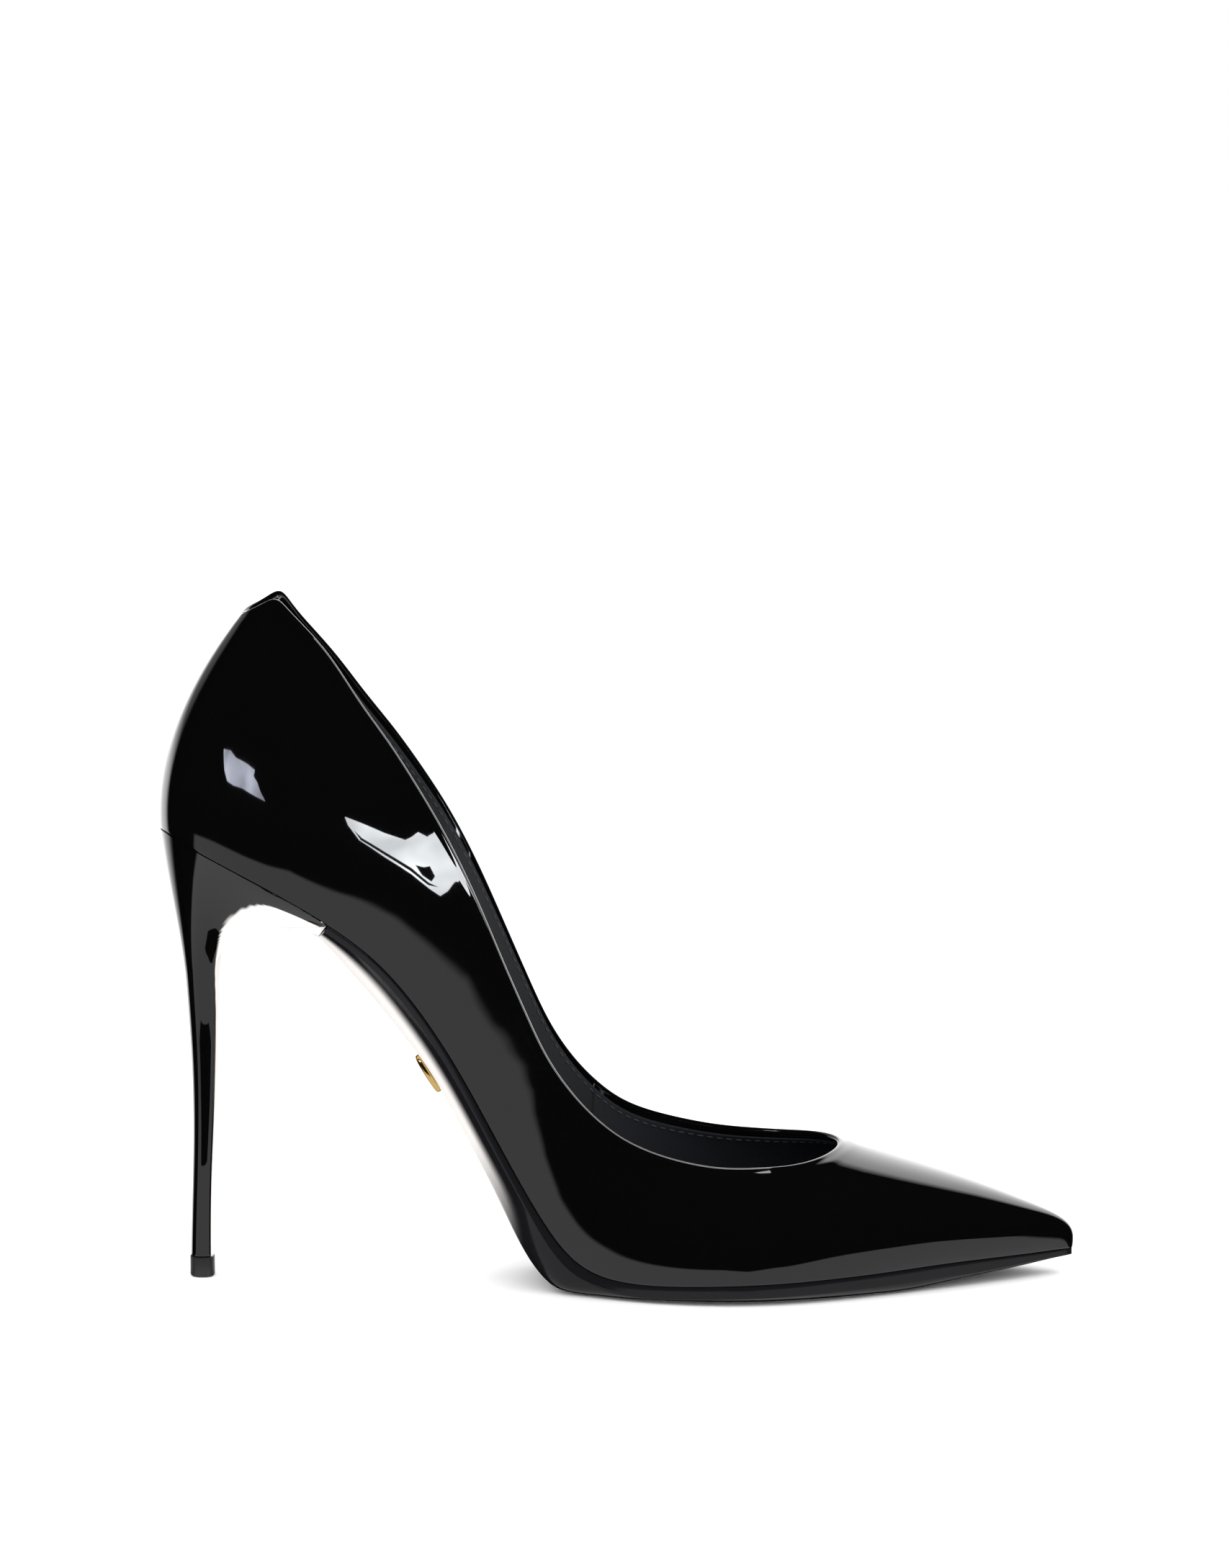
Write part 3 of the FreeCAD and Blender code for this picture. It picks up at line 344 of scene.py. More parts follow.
def column_lengths(c):
    """Length of each grid column of the upper, from the foot to the top edge."""
    tau = np.linspace(0, 1, 25)
    return arc_length(fan_points(c[None, :], tau[:, None], 0.0))[-1]


# ---- meshes ----
def to_frame(points):
    return (np.asarray(points) - ORIGIN) / 1000.0


def select_only(obj):
    bpy.ops.object.select_all(action="DESELECT")
    obj.select_set(True)
    bpy.context.view_layer.objects.active = obj


def edit(obj, *actions):
    """Run edit-mode operators on the whole of one mesh."""
    select_only(obj)
    bpy.ops.object.mode_set(mode="EDIT")
    bpy.ops.mesh.select_all(action="SELECT")
    for action in actions:
        action()
    bpy.ops.object.mode_set(mode="OBJECT")


def weld():
    """Join the points that meet at a seam."""
    bpy.ops.mesh.remove_doubles(threshold=2e-6)


def close_ends():
    """Put one face over each open end."""
    bpy.ops.mesh.select_all(action="DESELECT")
    bpy.ops.mesh.select_non_manifold(extend=False)
    bpy.ops.mesh.edge_face_add()
    bpy.ops.mesh.select_all(action="SELECT")


def outward():
    """Turn all faces to the outside."""
    bpy.ops.mesh.normals_make_consistent(inside=False)


def grid_piece(name, points, wrap_rows=False, wrap_columns=False, caps=False, pale=None):
    """A primitive grid laid over an array of points, closed round either way."""
    if pale is not None:
        points = np.concatenate([points, pale[..., None]], axis=2)
    if wrap_rows:
        points = np.concatenate([points, points[:1]])
    if wrap_columns:
        points = np.concatenate([points, points[:, :1]], axis=1)
    rows, columns = points.shape[:2]
    bpy.ops.mesh.primitive_grid_add(x_subdivisions=columns - 1, y_subdivisions=rows - 1, size=1)
    obj = bpy.context.active_object
    obj.name = obj.data.name = name
    if len(obj.data.vertices) != rows * columns:
        raise RuntimeError(f"{name}: the grid has {len(obj.data.vertices)} points, not {rows * columns}")
    obj.data.vertices.foreach_set("co", to_frame(points[..., :3]).reshape(-1))
    obj.data.update()
    if pale is not None:
        mask = obj.data.attributes.new("pale", "FLOAT", "POINT")
        mask.data.foreach_set("value", points[..., 3].reshape(-1))
    actions = (weld, close_ends, outward) if caps else (weld, outward)
    edit(obj, *actions)
    bpy.ops.object.shade_smooth()
    return obj


def finish_piece(obj, material, slot, *nodes):
    """Give a piece its look, tie it to the body and hide the imported nodes it replaces; the slot is not
    used.
    """
    obj.data.materials.clear()
    obj.data.materials.append(material)
    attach(obj, "root")
    if nodes:
        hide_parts(*nodes)
    return obj


# ---- upper and linings ----
def upper_columns(end=2.0):
    """Grid columns, closest where the surface turns fastest: the toe, the ball and the back seam."""
    half = np.concatenate([
        np.linspace(0, 0.12, 16, endpoint=False), np.linspace(0.12, 1.0, 90, endpoint=False),
        np.linspace(1.0, 1.86, 105, endpoint=False), np.linspace(1.86, 1.985, 16, endpoint=False),
        end - np.array([0.015, 0.011, 0.008, 0.006, 0.0045, 0.0033, 0.0024, 0.0016, 0.0009, 0.0003])])
    return np.concatenate([-half[:0:-1], half])


def upper_points():
    """The patent leather: round under the foot, up the outside, over the folded edge and down inside."""
    c = upper_columns()
    length = column_lengths(c)[None, :]
    from_seam = BALL * (2.0 - abs(c)) * 10.0
    groove = 0.32 * np.exp(-(from_seam / 0.30) ** 2) - 0.05 * np.exp(-((from_seam - 1.0) / 0.7) ** 2)

    def rows(distance, depth):
        distance = np.asarray(distance, float)[:, None]
        depth = np.asarray(depth, float).reshape(len(distance), -1)
        tau = np.clip(1.0 - distance / length, 0.0, 1.0)
        return fan_points(c[None, :], tau, depth + groove[None, :])

    radius = FOLDED_EDGE / 2
    turn = np.radians(np.linspace(90, 0, 9))
    fold = np.array([1.3, 1.7, 2.1, 2.5, 3.0, 3.6, 4.3, 5.2, 6.3, 7.6, 9.2, 11.0])
    ridge = 0.06 * np.exp(-((fold - 1.6) / 0.7) ** 2) - 0.085 * np.exp(-((fold - 3.3) / 0.8) ** 2)
    forward = 0.2 + 0.8 * smooth((1.0 - abs(c)) / 0.15)
    rounding = np.broadcast_to(radius * (1 - np.cos(turn))[:, None], (len(turn), len(c)))
    near_top = rows(
        np.append(radius * (1 - np.sin(turn)), fold), np.concatenate([rounding, ridge[:, None] * forward]))
    share = np.linspace(0, 1, 92)[1:-1]
    share = share * 0.6 + 0.4 * smooth(share)
    tau_high, tau_low = 1.0 - 11.0 / length, 1.2 / length
    tau = mix(tau_high, tau_low, share[:, None])
    body = fan_points(c[None, :], tau, groove[None, :])
    foot = fan_points(c[None, :], np.concatenate([1.2 / length, FOOT_RADIUS / length]), groove[None, :])
    base = fan_points(c, FOOT_RADIUS / length[0], 0.0)
    inward = unit(fan_points(c, FOOT_RADIUS / length[0], 1.0) - base)
    down = unit(fan_points(c, 0.0, 0.0) - base)
    under = []
    for angle in np.radians([20, 40, 60, 80, 90]):
        under.append(base + FOOT_RADIUS * (inward * (1 - math.cos(angle)) + down * math.sin(angle)))
    under.append(base + FOOT_RADIUS * down + inward * FOLDED_EDGE)
    inside_low = fan_points(c[None, :], np.array([[0.02], [0.2], [0.5], [0.8]]), FOLDED_EDGE)
    inside = rows([9.0, 6.0, 4.0, 2.8, 2.0, 1.4], [FOLDED_EDGE] * 6)
    over = rows(radius * (1 - np.sin(turn[:0:-1])), radius * (1 + np.cos(turn[:0:-1])))
    return np.concatenate([near_top, body, foot, np.stack(under), inside_low, inside, over])


def make_upper():
    return grid_piece("upper_patent", upper_points(), wrap_rows=True, wrap_columns=True)


def lining_points(c, top_edge):
    """Rows of a lining: up its hidden face, round its top edge and down the face that shows."""
    length = column_lengths(c)
    high, low, r = 1.0 - (top_edge + 1.0) / length, 0.004, LINING / 2
    rows = [(mix(low, high, w), LINING_FACE) for w in (0, 0.4, 0.7, 1)]
    for angle in np.radians(np.linspace(0, 180, 7)):
        below_edge = top_edge + r * (1 - math.sin(angle))
        rows.append((1.0 - below_edge / length, LINING_FACE + r * (1 - math.cos(angle))))
    rows += [(mix(high, low, w), LINING_FACE + LINING) for w in np.linspace(0, 1, 70)]
    return np.stack([fan_points(c, tau, depth) for tau, depth in rows])


def make_lining(name, start, end, count):
    points = lining_points(np.linspace(start, end, count), LINING_TOP_EDGE)
    return grid_piece(name, points, wrap_rows=True, caps=True)


def make_stitches():
    """Row of thread stitches below the top edge of the linings."""
    c = np.linspace(-1.94, 1.94, 3000)
    length = column_lengths(c)
    path = fan_points(c, 1.0 - STITCH_LINE / length, LINING_FACE + LINING + 0.04)
    travelled = arc_length(path)
    at = np.arange(STITCH_PITCH, travelled[-1], STITCH_PITCH)
    middle = np.stack([np.interp(at, travelled, path[:, i]) for i in range(3)], axis=1)
    ahead = np.stack([np.interp(at + 0.2, travelled, path[:, i]) for i in range(3)], axis=1)
    along = unit(ahead - middle)
    side = unit(np.cross(along, (0, 0, 1)))
    up = np.cross(side, along)
    bpy.ops.mesh.primitive_uv_sphere_add(segments=8, ring_count=6, radius=1.0)
    bead = bpy.context.active_object
    shape = np.array([v.co for v in bead.data.vertices])
    faces = [tuple(f.vertices) for f in bead.data.polygons]
    bpy.ops.object.delete()
    x, y, z = (shape[:, i:i + 1] for i in range(3))
    half_length, half_width, half_height = STITCH_HALF
    points, polygons = [], []
    for m, a, b, d in zip(middle, along, side, up):
        base = len(points) * len(shape)
        points.append(m + z * a * half_length + x * b * half_width + y * d * half_height)
        polygons += [tuple(base + i for i in f) for f in faces]
    mesh = bpy.data.meshes.new("rim_stitches")
    mesh.from_pydata(to_frame(np.concatenate(points)).tolist(), [], polygons)
    obj = bpy.data.objects.new("rim_stitches", mesh)
    bpy.context.scene.collection.objects.link(obj)
    edit(obj, outward)
    bpy.ops.object.shade_smooth()
    return obj


def make_heel_grip():
    """Patch of lining over the counter, inside the heel."""
    s = np.linspace(-4.4, 4.4, 120)
    top = np.where(s < 0, FANS[-1].top_t(abs(s)), FANS[1].top_t(abs(s)))
    depth, r = LINING_FACE + LINING + 0.02, GRIP / 2
    rows = [(w, depth) for w in (0.1, 0.5, 0.9)]
    for angle in np.radians(np.linspace(0, 180, 5)):
        rows.append((0.925 + 0.002 * math.sin(angle), depth + r * (1 - math.cos(angle))))
    rows += [(w, depth + GRIP) for w in np.linspace(0.92, 0.1, 60)]
    points = np.stack([LAST_FORM(s, w * top, d) for w, d in rows])
    return grid_piece("heel_grip_suede", points, wrap_rows=True, caps=True)


# ---- bottom ----
def seat_frame(s):
    """Featherline points of both sides at station s and the direction out of the sole."""
    s = np.asarray(s, float)
    along = LAST_FORM(-np.minimum(LAST, s + 0.05), 0.0) - LAST_FORM(-np.maximum(0.0, s - 0.05), 0.0)
    along = unit(along * (1, 0, 1))
    return LAST_FORM(-s, 0.0), LAST_FORM(s, 0.0), vec(along[..., 2], 0.0, -along[..., 0])


SEAT = LAST_FORM(-np.linspace(0, LAST, 441), 0.0)
CROWN = Spline([4, 5, 6.5, 9, 11, 14, 18, 22], [0, 0.3, 1.6, 2.0, 1.0, 0.6, 0.3, 0])
BOTTOM = Spline(SOLE_BOTTOM[:, 0], SOLE_BOTTOM[:, 1])


def crown_at(s):
    """How far the middle of the footbed dips below its edges."""
    return CROWN(s) * smooth(s - LIP)


def sock_points():
    """Rings round the sock: under it, up its rounded edge and over its padded top."""
    s = np.concatenate([np.linspace(0.12, 1.2, 14), np.linspace(1.35, 20.4, 190)])
    out = seat_frame(s)[2][:, None, :]
    ends = []
    for side in (-1, 1):
        p = LAST_FORM(side * s, 0.0, FOOT_EDGE)
        p[:, 2] = np.interp(p[:, 0], SEAT[:, 0], SEAT[:, 2])
        ends.append(p[:, None, :])
    low, high = BOARD_AND_PAD, BOARD_AND_PAD + SOCK
    v = np.concatenate([[0.02, 0.5, 0.98], [1.0] * 4, np.linspace(0.985, 0.015, 40)])
    level = np.concatenate([[low] * 3, mix(low, high, np.array([0.1, 0.4, 0.7, 0.92])), [high] * 40])
    arch = 4 * v * (1 - v)
    height = level + 0.35 * (level > high - 0.01) * smooth(arch * 3) - crown_at(s)[:, None] * arch
    edge = mix(ends[0], ends[1], v[None, :, None])
    return edge - out * height[..., None]


def make_sock():
    return grid_piece("sock_leather", sock_points(), wrap_columns=True, caps=True)


def sole_depth(s):
    """Thickness of the whole bottom on its centre line."""
    left, right, out = seat_frame(s)
    middle = mix(left, right, 0.5)
    low, high = np.full(s.shape, 0.5), np.full(s.shape, 25.0)
    for _ in range(30):
        depth = (low + high) / 2
        p = middle + out * depth[:, None]
        over = p[:, 2] > np.maximum(-0.25, BOTTOM(p[:, 0]))
        low, high = np.where(over, depth, low), np.where(over, high, depth)
    return low


def sole_shape(s):
    """Thickness at the edge and in the middle, and how flat the bottom is between them."""
    front = smooth((s - 8.6) / 2.6)
    centre = sole_depth(s)
    edge = np.minimum(mix(1.9, 3.3, front), 0.72 * centre)
    return edge, centre, 2.3 + 13.0 * front


def make_sole():
    """Leather sole: black edge and forefoot, natural leather under the waist, whose pale tone is graded in
    from the black edge as a painted reflection of the white surroundings.
    """
    s = np.concatenate([
        [LIP + 0.02, LIP + 0.03, LIP + 0.05], np.linspace(5.12, 12.0, 150), np.linspace(12.1, 21.0, 120),
        [21.2, 21.35, 21.45, 21.5]])
    left, right, out = seat_frame(s)
    edge, centre, flat = (a[:, None] for a in sole_shape(s))
    turn = np.radians([0, 30, 60, 90])
    rim_in = np.concatenate([SOLE_EDGE_RADIUS * (1 - np.sin(turn)), [0, 0, 0.02]])
    v = (1 - np.cos(np.linspace(0.03, 0.97, 74) * np.pi)) / 2
    width = (right[:, 1] - left[:, 1] - 2 * SOLE_INSET)[:, None]
    depth = edge + (centre - edge) * (1 - abs(2 * v - 1) ** flat)
    top = np.broadcast_to(SOLE_TOP + SOLE_EDGE_RADIUS * (1 - np.cos(turn)), (len(s), len(turn)))
    rim_depth = np.concatenate(
        [top, mix(SOLE_TOP, edge, 0.45), mix(SOLE_TOP, edge, 0.8), edge - 0.02], axis=1)
    rim_v = rim_in / width
    v = np.concatenate([rim_v, np.broadcast_to(v, (len(s), len(v))), 1 - rim_v[:, ::-1]], axis=1)
    depth = np.concatenate([rim_depth, depth, rim_depth[:, ::-1]], axis=1)
    base = vec(left[:, :1], mix(left[:, 1:2] + SOLE_INSET, right[:, 1:2] - SOLE_INSET, v), left[:, 2:])
    points = base + out[:, None, :] * depth[..., None]
    points[..., 2] = np.maximum(points[..., 2], 0.0)
    from_edge = np.minimum(v, 1 - v) * width
    forward = smooth((points[..., 0] + 12.0) / 30.0)
    # painted reflection: the pale comes in softly over a few millimetres from the edge, standing in for the
    # white surroundings mirrored at grazing angles; the pale itself is the natural leather's colour
    pale = smooth((from_edge - 0.9 - 0.9 * forward) / (1.8 + 2.4 * forward)) * (depth > 0.6 * edge)
    pale = pale * smooth((PALE_END - points[..., 0]) / 14.0)
    return grid_piece("outsole_leather", points, wrap_columns=True, caps=True, pale=pale)


def front_lip_station():
    """Station where the heel's seat ends and the sole begins."""
    s = np.linspace(4.0, 6.0, 2001)
    return float(np.interp(HEEL_FRONT_X, LAST_FORM(-s, 0.0)[:, 0], s))


LIP = front_lip_station()
LIP_CORNER = 0.68            # share of the heel's edge that runs round the seat


def heel_edge(side, along):
    """Upper edge of the heel: round the seat, then across under its front lip."""
    seat = LAST_FORM(side * LIP * np.minimum(1.0, along / LIP_CORNER), 0.0) - (0, 0, 0.05)
    w = np.clip((along - LIP_CORNER) / (1 - LIP_CORNER), 0, 1)
    v = 0.5 * w if side < 0 else 1 - 0.5 * w
    left, right, out = seat_frame(LIP)
    edge, centre, flat = (float(a[0]) for a in sole_shape(np.array([LIP])))
    depth = edge + (centre - edge) * (1 - abs(2 * v - 1) ** flat)
    depth = 0.05 + (depth - 0.05) * smooth(4 * w)
    lip = vec(left[0], mix(left[1], right[1], v), left[2]) + out * depth[:, None]
    return np.where((along <= LIP_CORNER)[:, None], seat, lip)


HEEL_LEAVE = Spline([0, 0.2, 0.4, 0.55, 0.68, 0.85, 1.0], [
    (4.5, 0.0, -40.0), (7.0, 4.5, -33.0), (5.0, 9.0, -22.0), (-2.0, 11.0, -16.0),
    (-12.0, 12.0, -7.0), (-25.0, 6.0, 13.0), (-30.0, 0.0, 24.0)])


# Where the pale leather of the heel's breast begins: row down the heel, share of the way round.
BREAST_EDGE = np.array([
    (0, 0.70), (1.6, 0.69), (2.1, 0.655), (2.6, 0.585), (3.2, 0.545), (4.4, 0.517), (5.8, 0.508), (7.0, 0.54),
    (8.2, 0.62), (10.0, 0.72), (12.5, 0.75), (16.0, 0.76)])


def ring_points(side, along, z, back, front, half_width):
    """Half of a stem ring: rounded at the back, flatter at the breast."""
    c, s = np.cos(np.pi * along), np.abs(np.sin(np.pi * along))
    power = 2.0 / np.where(c > 0, 2.1, 2.6)
    x = (back + front) / 2 - (front - back) / 2 * np.sign(c) * abs(c) ** power
    return vec(x, side * half_width * s ** power, z)


def heel_side(side, along):
    """Rows down one side of the heel, from the seat edge through the flare to the foot of the stem."""
    start = heel_edge(side, along)
    leave = HEEL_LEAVE(along) * (1, -side, 1)
    end = ring_points(side, along, *STEM[0])
    arrive = vec(3.0 * (1 - along), 0, -36.0 - 40.0 * along ** 2)
    rows = []
    for t in [0.0, 0.05, 0.12, 0.21, 0.32, 0.44, 0.56, 0.68, 0.8, 0.9]:
        rows.append(start * (2 * t ** 3 - 3 * t ** 2 + 1) + leave * (t ** 3 - 2 * t ** 2 + t)
                    + end * (3 * t ** 2 - 2 * t ** 3) + arrive * (t ** 3 - t ** 2))
    rows += [ring_points(side, along, *ring) for ring in STEM]
    return np.stack(rows)


def make_heel():
    """Patent cover of the heel, closed over the seat and under the stem."""
    along = np.concatenate(
        [np.linspace(0, 0.64, 54), np.linspace(0.65, 0.71, 13), np.linspace(0.725, 1.0, 26)])
    lateral, medial = heel_side(-1, along[::-1]), heel_side(1, along[1:-1])
    rows = np.concatenate([lateral, medial], axis=1)
    down = Spline(np.arange(len(rows)), rows)
    at = np.concatenate([
        np.linspace(0, 0.3, 8, endpoint=False), np.linspace(0.3, 10, 110, endpoint=False),
        np.linspace(10, len(rows) - 1, 80)])
    points = down(at)
    inward = unit((np.array(HEEL_CENTRE) - points[0]) * (1, 1, 0))
    points[0] = points[0] + inward * 0.35
    points[1] = points[1] + inward * 0.08
    column = np.concatenate([along[::-1], along[1:-1]])
    edge = Spline(BREAST_EDGE[:, 0], BREAST_EDGE[:, 1])(at)
    pale = smooth((column[None, :] - edge[:, None]) / 0.008 + 0.5)
    return grid_piece("heel_patent", points, wrap_columns=True, caps=True, pale=pale)


def make_top_piece():
    """Rubber foot of the heel."""
    along = np.linspace(0, 1, 25)
    _, back, front, half_width = STEM[-1]
    height = TOP_PIECE_HEIGHT
    profile = [
        (0.0, 0.55), (0.0, 0.3), (0.1, 0.1), (0.3, 0.0), (height / 2, 0.0), (height - 0.25, 0.0),
        (height - 0.07, 0.06), (height, 0.25)]
    rows = []
    for z, inset in profile:
        out = TOP_PIECE_LIP - inset
        ring = (z, back - out, front + out, half_width + out)
        rows.append(np.concatenate([ring_points(-1, along[::-1], *ring), ring_points(1, along[1:-1], *ring)]))
    return grid_piece("top_piece_rubber", np.stack(rows), wrap_columns=True, caps=True)


def make_plaque():
    """Plain oval plate with a rounded edge, set on the waist of the sole."""
    x, y = PLAQUE_PLACE
    slope = float(BOTTOM(x + 1) - BOTTOM(x - 1)) / 2
    along = unit(np.array([1, 0, slope]))
    out = np.array([along[2], 0, -along[0]])
    centre = np.array([x, y, float(BOTTOM(x))]) + out * PLAQUE_LIFT
    bpy.ops.mesh.primitive_cylinder_add(vertices=96, radius=1.0, depth=2.0, end_fill_type="NGON")
    obj = bpy.context.active_object
    obj.name = obj.data.name = "oval_plaque"
    co = np.zeros(len(obj.data.vertices) * 3)
    obj.data.vertices.foreach_get("co", co)
    co = (co.reshape(-1, 3) + (0, 0, 1)) * PLAQUE_HALF
    co = centre + co[:, :1] * along + co[:, 1:2] * (0, -1, 0) + co[:, 2:] * out
    obj.data.vertices.foreach_set("co", to_frame(co).reshape(-1))
    select_only(obj)
    bpy.ops.object.modifier_add(type="BEVEL")
    bevel = obj.modifiers[-1]
    bevel.width, bevel.segments, bevel.limit_method = PLAQUE_EDGE, 5, "ANGLE"
    bpy.ops.object.modifier_apply(modifier=bevel.name)
    edit(obj, outward)
    bpy.ops.object.shade_smooth_by_angle(angle=math.radians(35))
    return obj


# ---- materials ----
def new_material(name, color, roughness, ior=1.5, metallic=0.0, coat=0.0):
    material = bpy.data.materials.new(name)
    material.use_nodes = True
    shader = material.node_tree.nodes["Principled BSDF"]
    shader.inputs["Base Color"].default_value = (*color, 1.0)
    shader.inputs["Roughness"].default_value = roughness
    shader.inputs["IOR"].default_value = ior
    shader.inputs["Metallic"].default_value = metallic
    shader.inputs["Coat Weight"].default_value = coat
    return material


def two_tone(material, color, roughness):
    """Turn the parts marked pale into natural leather; on the sole the mask's soft edge is a painted
    reflection.
    """
    tree = material.node_tree
    shader = tree.nodes["Principled BSDF"]
    mask = tree.nodes.new("ShaderNodeAttribute")
    mask.attribute_name = "pale"
    tint = tree.nodes.new("ShaderNodeMix")
    tint.data_type = "RGBA"
    sheen = tree.nodes.new("ShaderNodeMix")
    tree.links.new(mask.outputs["Fac"], tint.inputs["Factor"])
    tree.links.new(mask.outputs["Fac"], sheen.inputs["Factor"])
    tint.inputs[6].default_value = shader.inputs["Base Color"].default_value
    tint.inputs[7].default_value = (*color, 1.0)
    sheen.inputs[2].default_value = shader.inputs["Roughness"].default_value
    sheen.inputs[3].default_value = roughness
    tree.links.new(tint.outputs[2], shader.inputs["Base Color"])
    tree.links.new(sheen.outputs[0], shader.inputs["Roughness"])
    return material


def add_bump(material, scale, strength, distance, detail=3.0, stretch=(1, 1, 1)):
    """Fine relief from noise in the piece's own coordinates."""
    tree = material.node_tree
    place = tree.nodes.new("ShaderNodeTexCoord")
    mapping = tree.nodes.new("ShaderNodeMapping")
    mapping.inputs["Scale"].default_value = stretch
    noise = tree.nodes.new("ShaderNodeTexNoise")
    noise.inputs["Scale"].default_value = scale
    noise.inputs["Detail"].default_value = detail
    bump = tree.nodes.new("ShaderNodeBump")
    bump.inputs["Strength"].default_value = strength
    bump.inputs["Distance"].default_value = distance
    shader = tree.nodes["Principled BSDF"]
    tree.links.new(place.outputs["Object"], mapping.inputs["Vector"])
    tree.links.new(mapping.outputs["Vector"], noise.inputs["Vector"])
    tree.links.new(noise.outputs["Fac"], bump.inputs["Height"])
    previous = shader.inputs["Normal"].links
    if previous:
        tree.links.new(previous[0].from_socket, bump.inputs["Normal"])
    tree.links.new(bump.outputs["Normal"], shader.inputs["Normal"])
    return material


# colour of natural leather; on the sole it also stands in for a painted reflection of the white surroundings
PALE_LEATHER = (0.74, 0.71, 0.69)
PALE_ROUGHNESS = 0.4


def patent(name="patent_leather_look"):
    """Black lacquered leather with a faint waviness."""
    material = new_material(name, (0.0013, 0.0013, 0.0015), 0.035)
    return add_bump(material, 90.0, 0.05, 0.0004, detail=1.0)


def lining_leather():
    """Matt black leather with a fine grain."""
    material = new_material("lining_look", (0.014, 0.0155, 0.021), 0.55)
    add_bump(material, 260.0, 0.25, 0.0004)
    return add_bump(material, 2600.0, 0.25, 0.0001)


def sole_leather():
    """Black painted leather, left natural under the waist, with a painted reflection in the soft edge of the
    natural part.
    """
    material = new_material("sole_look", (0.006, 0.006, 0.007), 0.12, ior=1.28)
    return two_tone(material, PALE_LEATHER, PALE_ROUGHNESS)


# ---- add-on ----
class ShoeSettings(bpy.types.PropertyGroup):
    floor_size: bpy.props.FloatProperty(
        name="Floor size", description="Width of the white table", default=12.0, unit="LENGTH")
    softbox: bpy.props.FloatProperty(
        name="Softbox brightness", description="Strength of the lamps mirrored on the leather", default=20.0)


class PieceOperator:
    bl_options = {"REGISTER", "UNDO"}


class SHOE_OT_upper(PieceOperator, bpy.types.Operator):
    """Build the patent upper with its folded edge and back seam"""
    bl_idname = "shoe.upper"
    bl_label = "Upper"

    def execute(self, context):
        finish_piece(make_upper(), patent(), "patent_leather", "upper")
        return {"FINISHED"}


class SHOE_OT_linings(PieceOperator, bpy.types.Operator):
    """Build the linings and the grip inside the heel"""
    bl_idname = "shoe.linings"
    bl_label = "Linings"

    def execute(self, context):
        look = lining_leather()
        for name, start, end, count in [
                ("vamp_lining", -1.08, 1.08, 190), ("quarter_lining_lateral", -1.995, -1.075, 90),
                ("quarter_lining_medial", 1.075, 1.995, 90)]:
            finish_piece(make_lining(name + "_leather", start, end, count), look, "lining_leather", name)
        finish_piece(make_heel_grip(), look, "lining_leather", "heel_grip")
        finish_piece(make_sock(), look, "lining_leather", "sock_liner")
        thread = new_material("thread_look", (0.045, 0.047, 0.055), 0.38)
        finish_piece(make_stitches(), thread, None)
        return {"FINISHED"}


class SHOE_OT_sole(PieceOperator, bpy.types.Operator):
    """Build the leather sole and the plaque under its waist"""
    bl_idname = "shoe.sole"
    bl_label = "Sole"

    def execute(self, context):
        finish_piece(make_sole(), sole_leather(), "sole_leather", "outsole")
        gold = new_material("gold_look", (0.62, 0.42, 0.15), 0.14, metallic=1.0)
        finish_piece(make_plaque(), gold, "gold_plate", "sole_plaque")
        return {"FINISHED"}


class SHOE_OT_heel(PieceOperator, bpy.types.Operator):
    """Build the covered heel and its rubber foot"""
    bl_idname = "shoe.heel"
    bl_label = "Heel"

    def execute(self, context):
        cover = two_tone(patent("heel_cover_look"), PALE_LEATHER, PALE_ROUGHNESS)
        finish_piece(make_heel(), cover, "patent_leather", "heel_cover", "heel_core")
        rubber = new_material("rubber_look", (0.012, 0.012, 0.013), 0.5)
        finish_piece(make_top_piece(), rubber, "heel_tip", "top_piece")
        return {"FINISHED"}


def studio_brightness(tree):
    """Brightness of the mirrored studio in each direction: a pale wall behind the shoe and a pale floor."""
    place = tree.nodes.new("ShaderNodeTexCoord")
    split = tree.nodes.new("ShaderNodeSeparateXYZ")
    tree.links.new(place.outputs["Generated"], split.inputs[0])
    x, y, z = split.outputs

    def reckon(kind, a, b=None, clamp=False):
        node = tree.nodes.new("ShaderNodeMath")
        node.operation = kind
        node.use_clamp = clamp
        for i, value in enumerate((a, b)):
            if isinstance(value, (int, float)):
                node.inputs[i].default_value = value
            elif value is not None:
                tree.links.new(value, node.inputs[i])
        return node.outputs[0]

    def plus(a, b, clamp=False):
        return reckon("ADD", a, b, clamp)

    def minus(a, b, clamp=False):
        return reckon("SUBTRACT", a, b, clamp)

    def times(a, b, clamp=False):
        return reckon("MULTIPLY", a, b, clamp)

    # the wall behind the shoe, which fades low down and to the upper left
    wall = times(times(minus(y, 0.55), 8.0, clamp=True), 2.2)
    wall = times(wall, times(plus(z, 0.36), 7.0, clamp=True))
    left = times(times(x, -4.0, clamp=True), times(z, 7.0, clamp=True))
    wall = times(wall, minus(1.0, times(left, 0.85)))
    # the floor shows below a nearly level line, lower near the middle and higher on the right
    dip = minus(1.0, times(reckon("ABSOLUTE", minus(x, 0.14)), 5.0), clamp=True)
    rise = times(minus(x, 0.45), 3.0, clamp=True)
    edge = plus(times(dip, -0.045), times(rise, 0.055))
    floor = times(minus(plus(edge, -0.145), z), 60.0, clamp=True)
    # and it ends behind the shoe in a wide V
    shallow = times(plus(z, 0.8), 4.0, clamp=True)
    aside = times(times(reckon("ABSOLUTE", x), -0.46), shallow)
    ahead = times(minus(minus(aside, times(z, 0.75)), y), 14.0, clamp=True)
    return reckon("MAXIMUM", wall, times(floor, ahead))


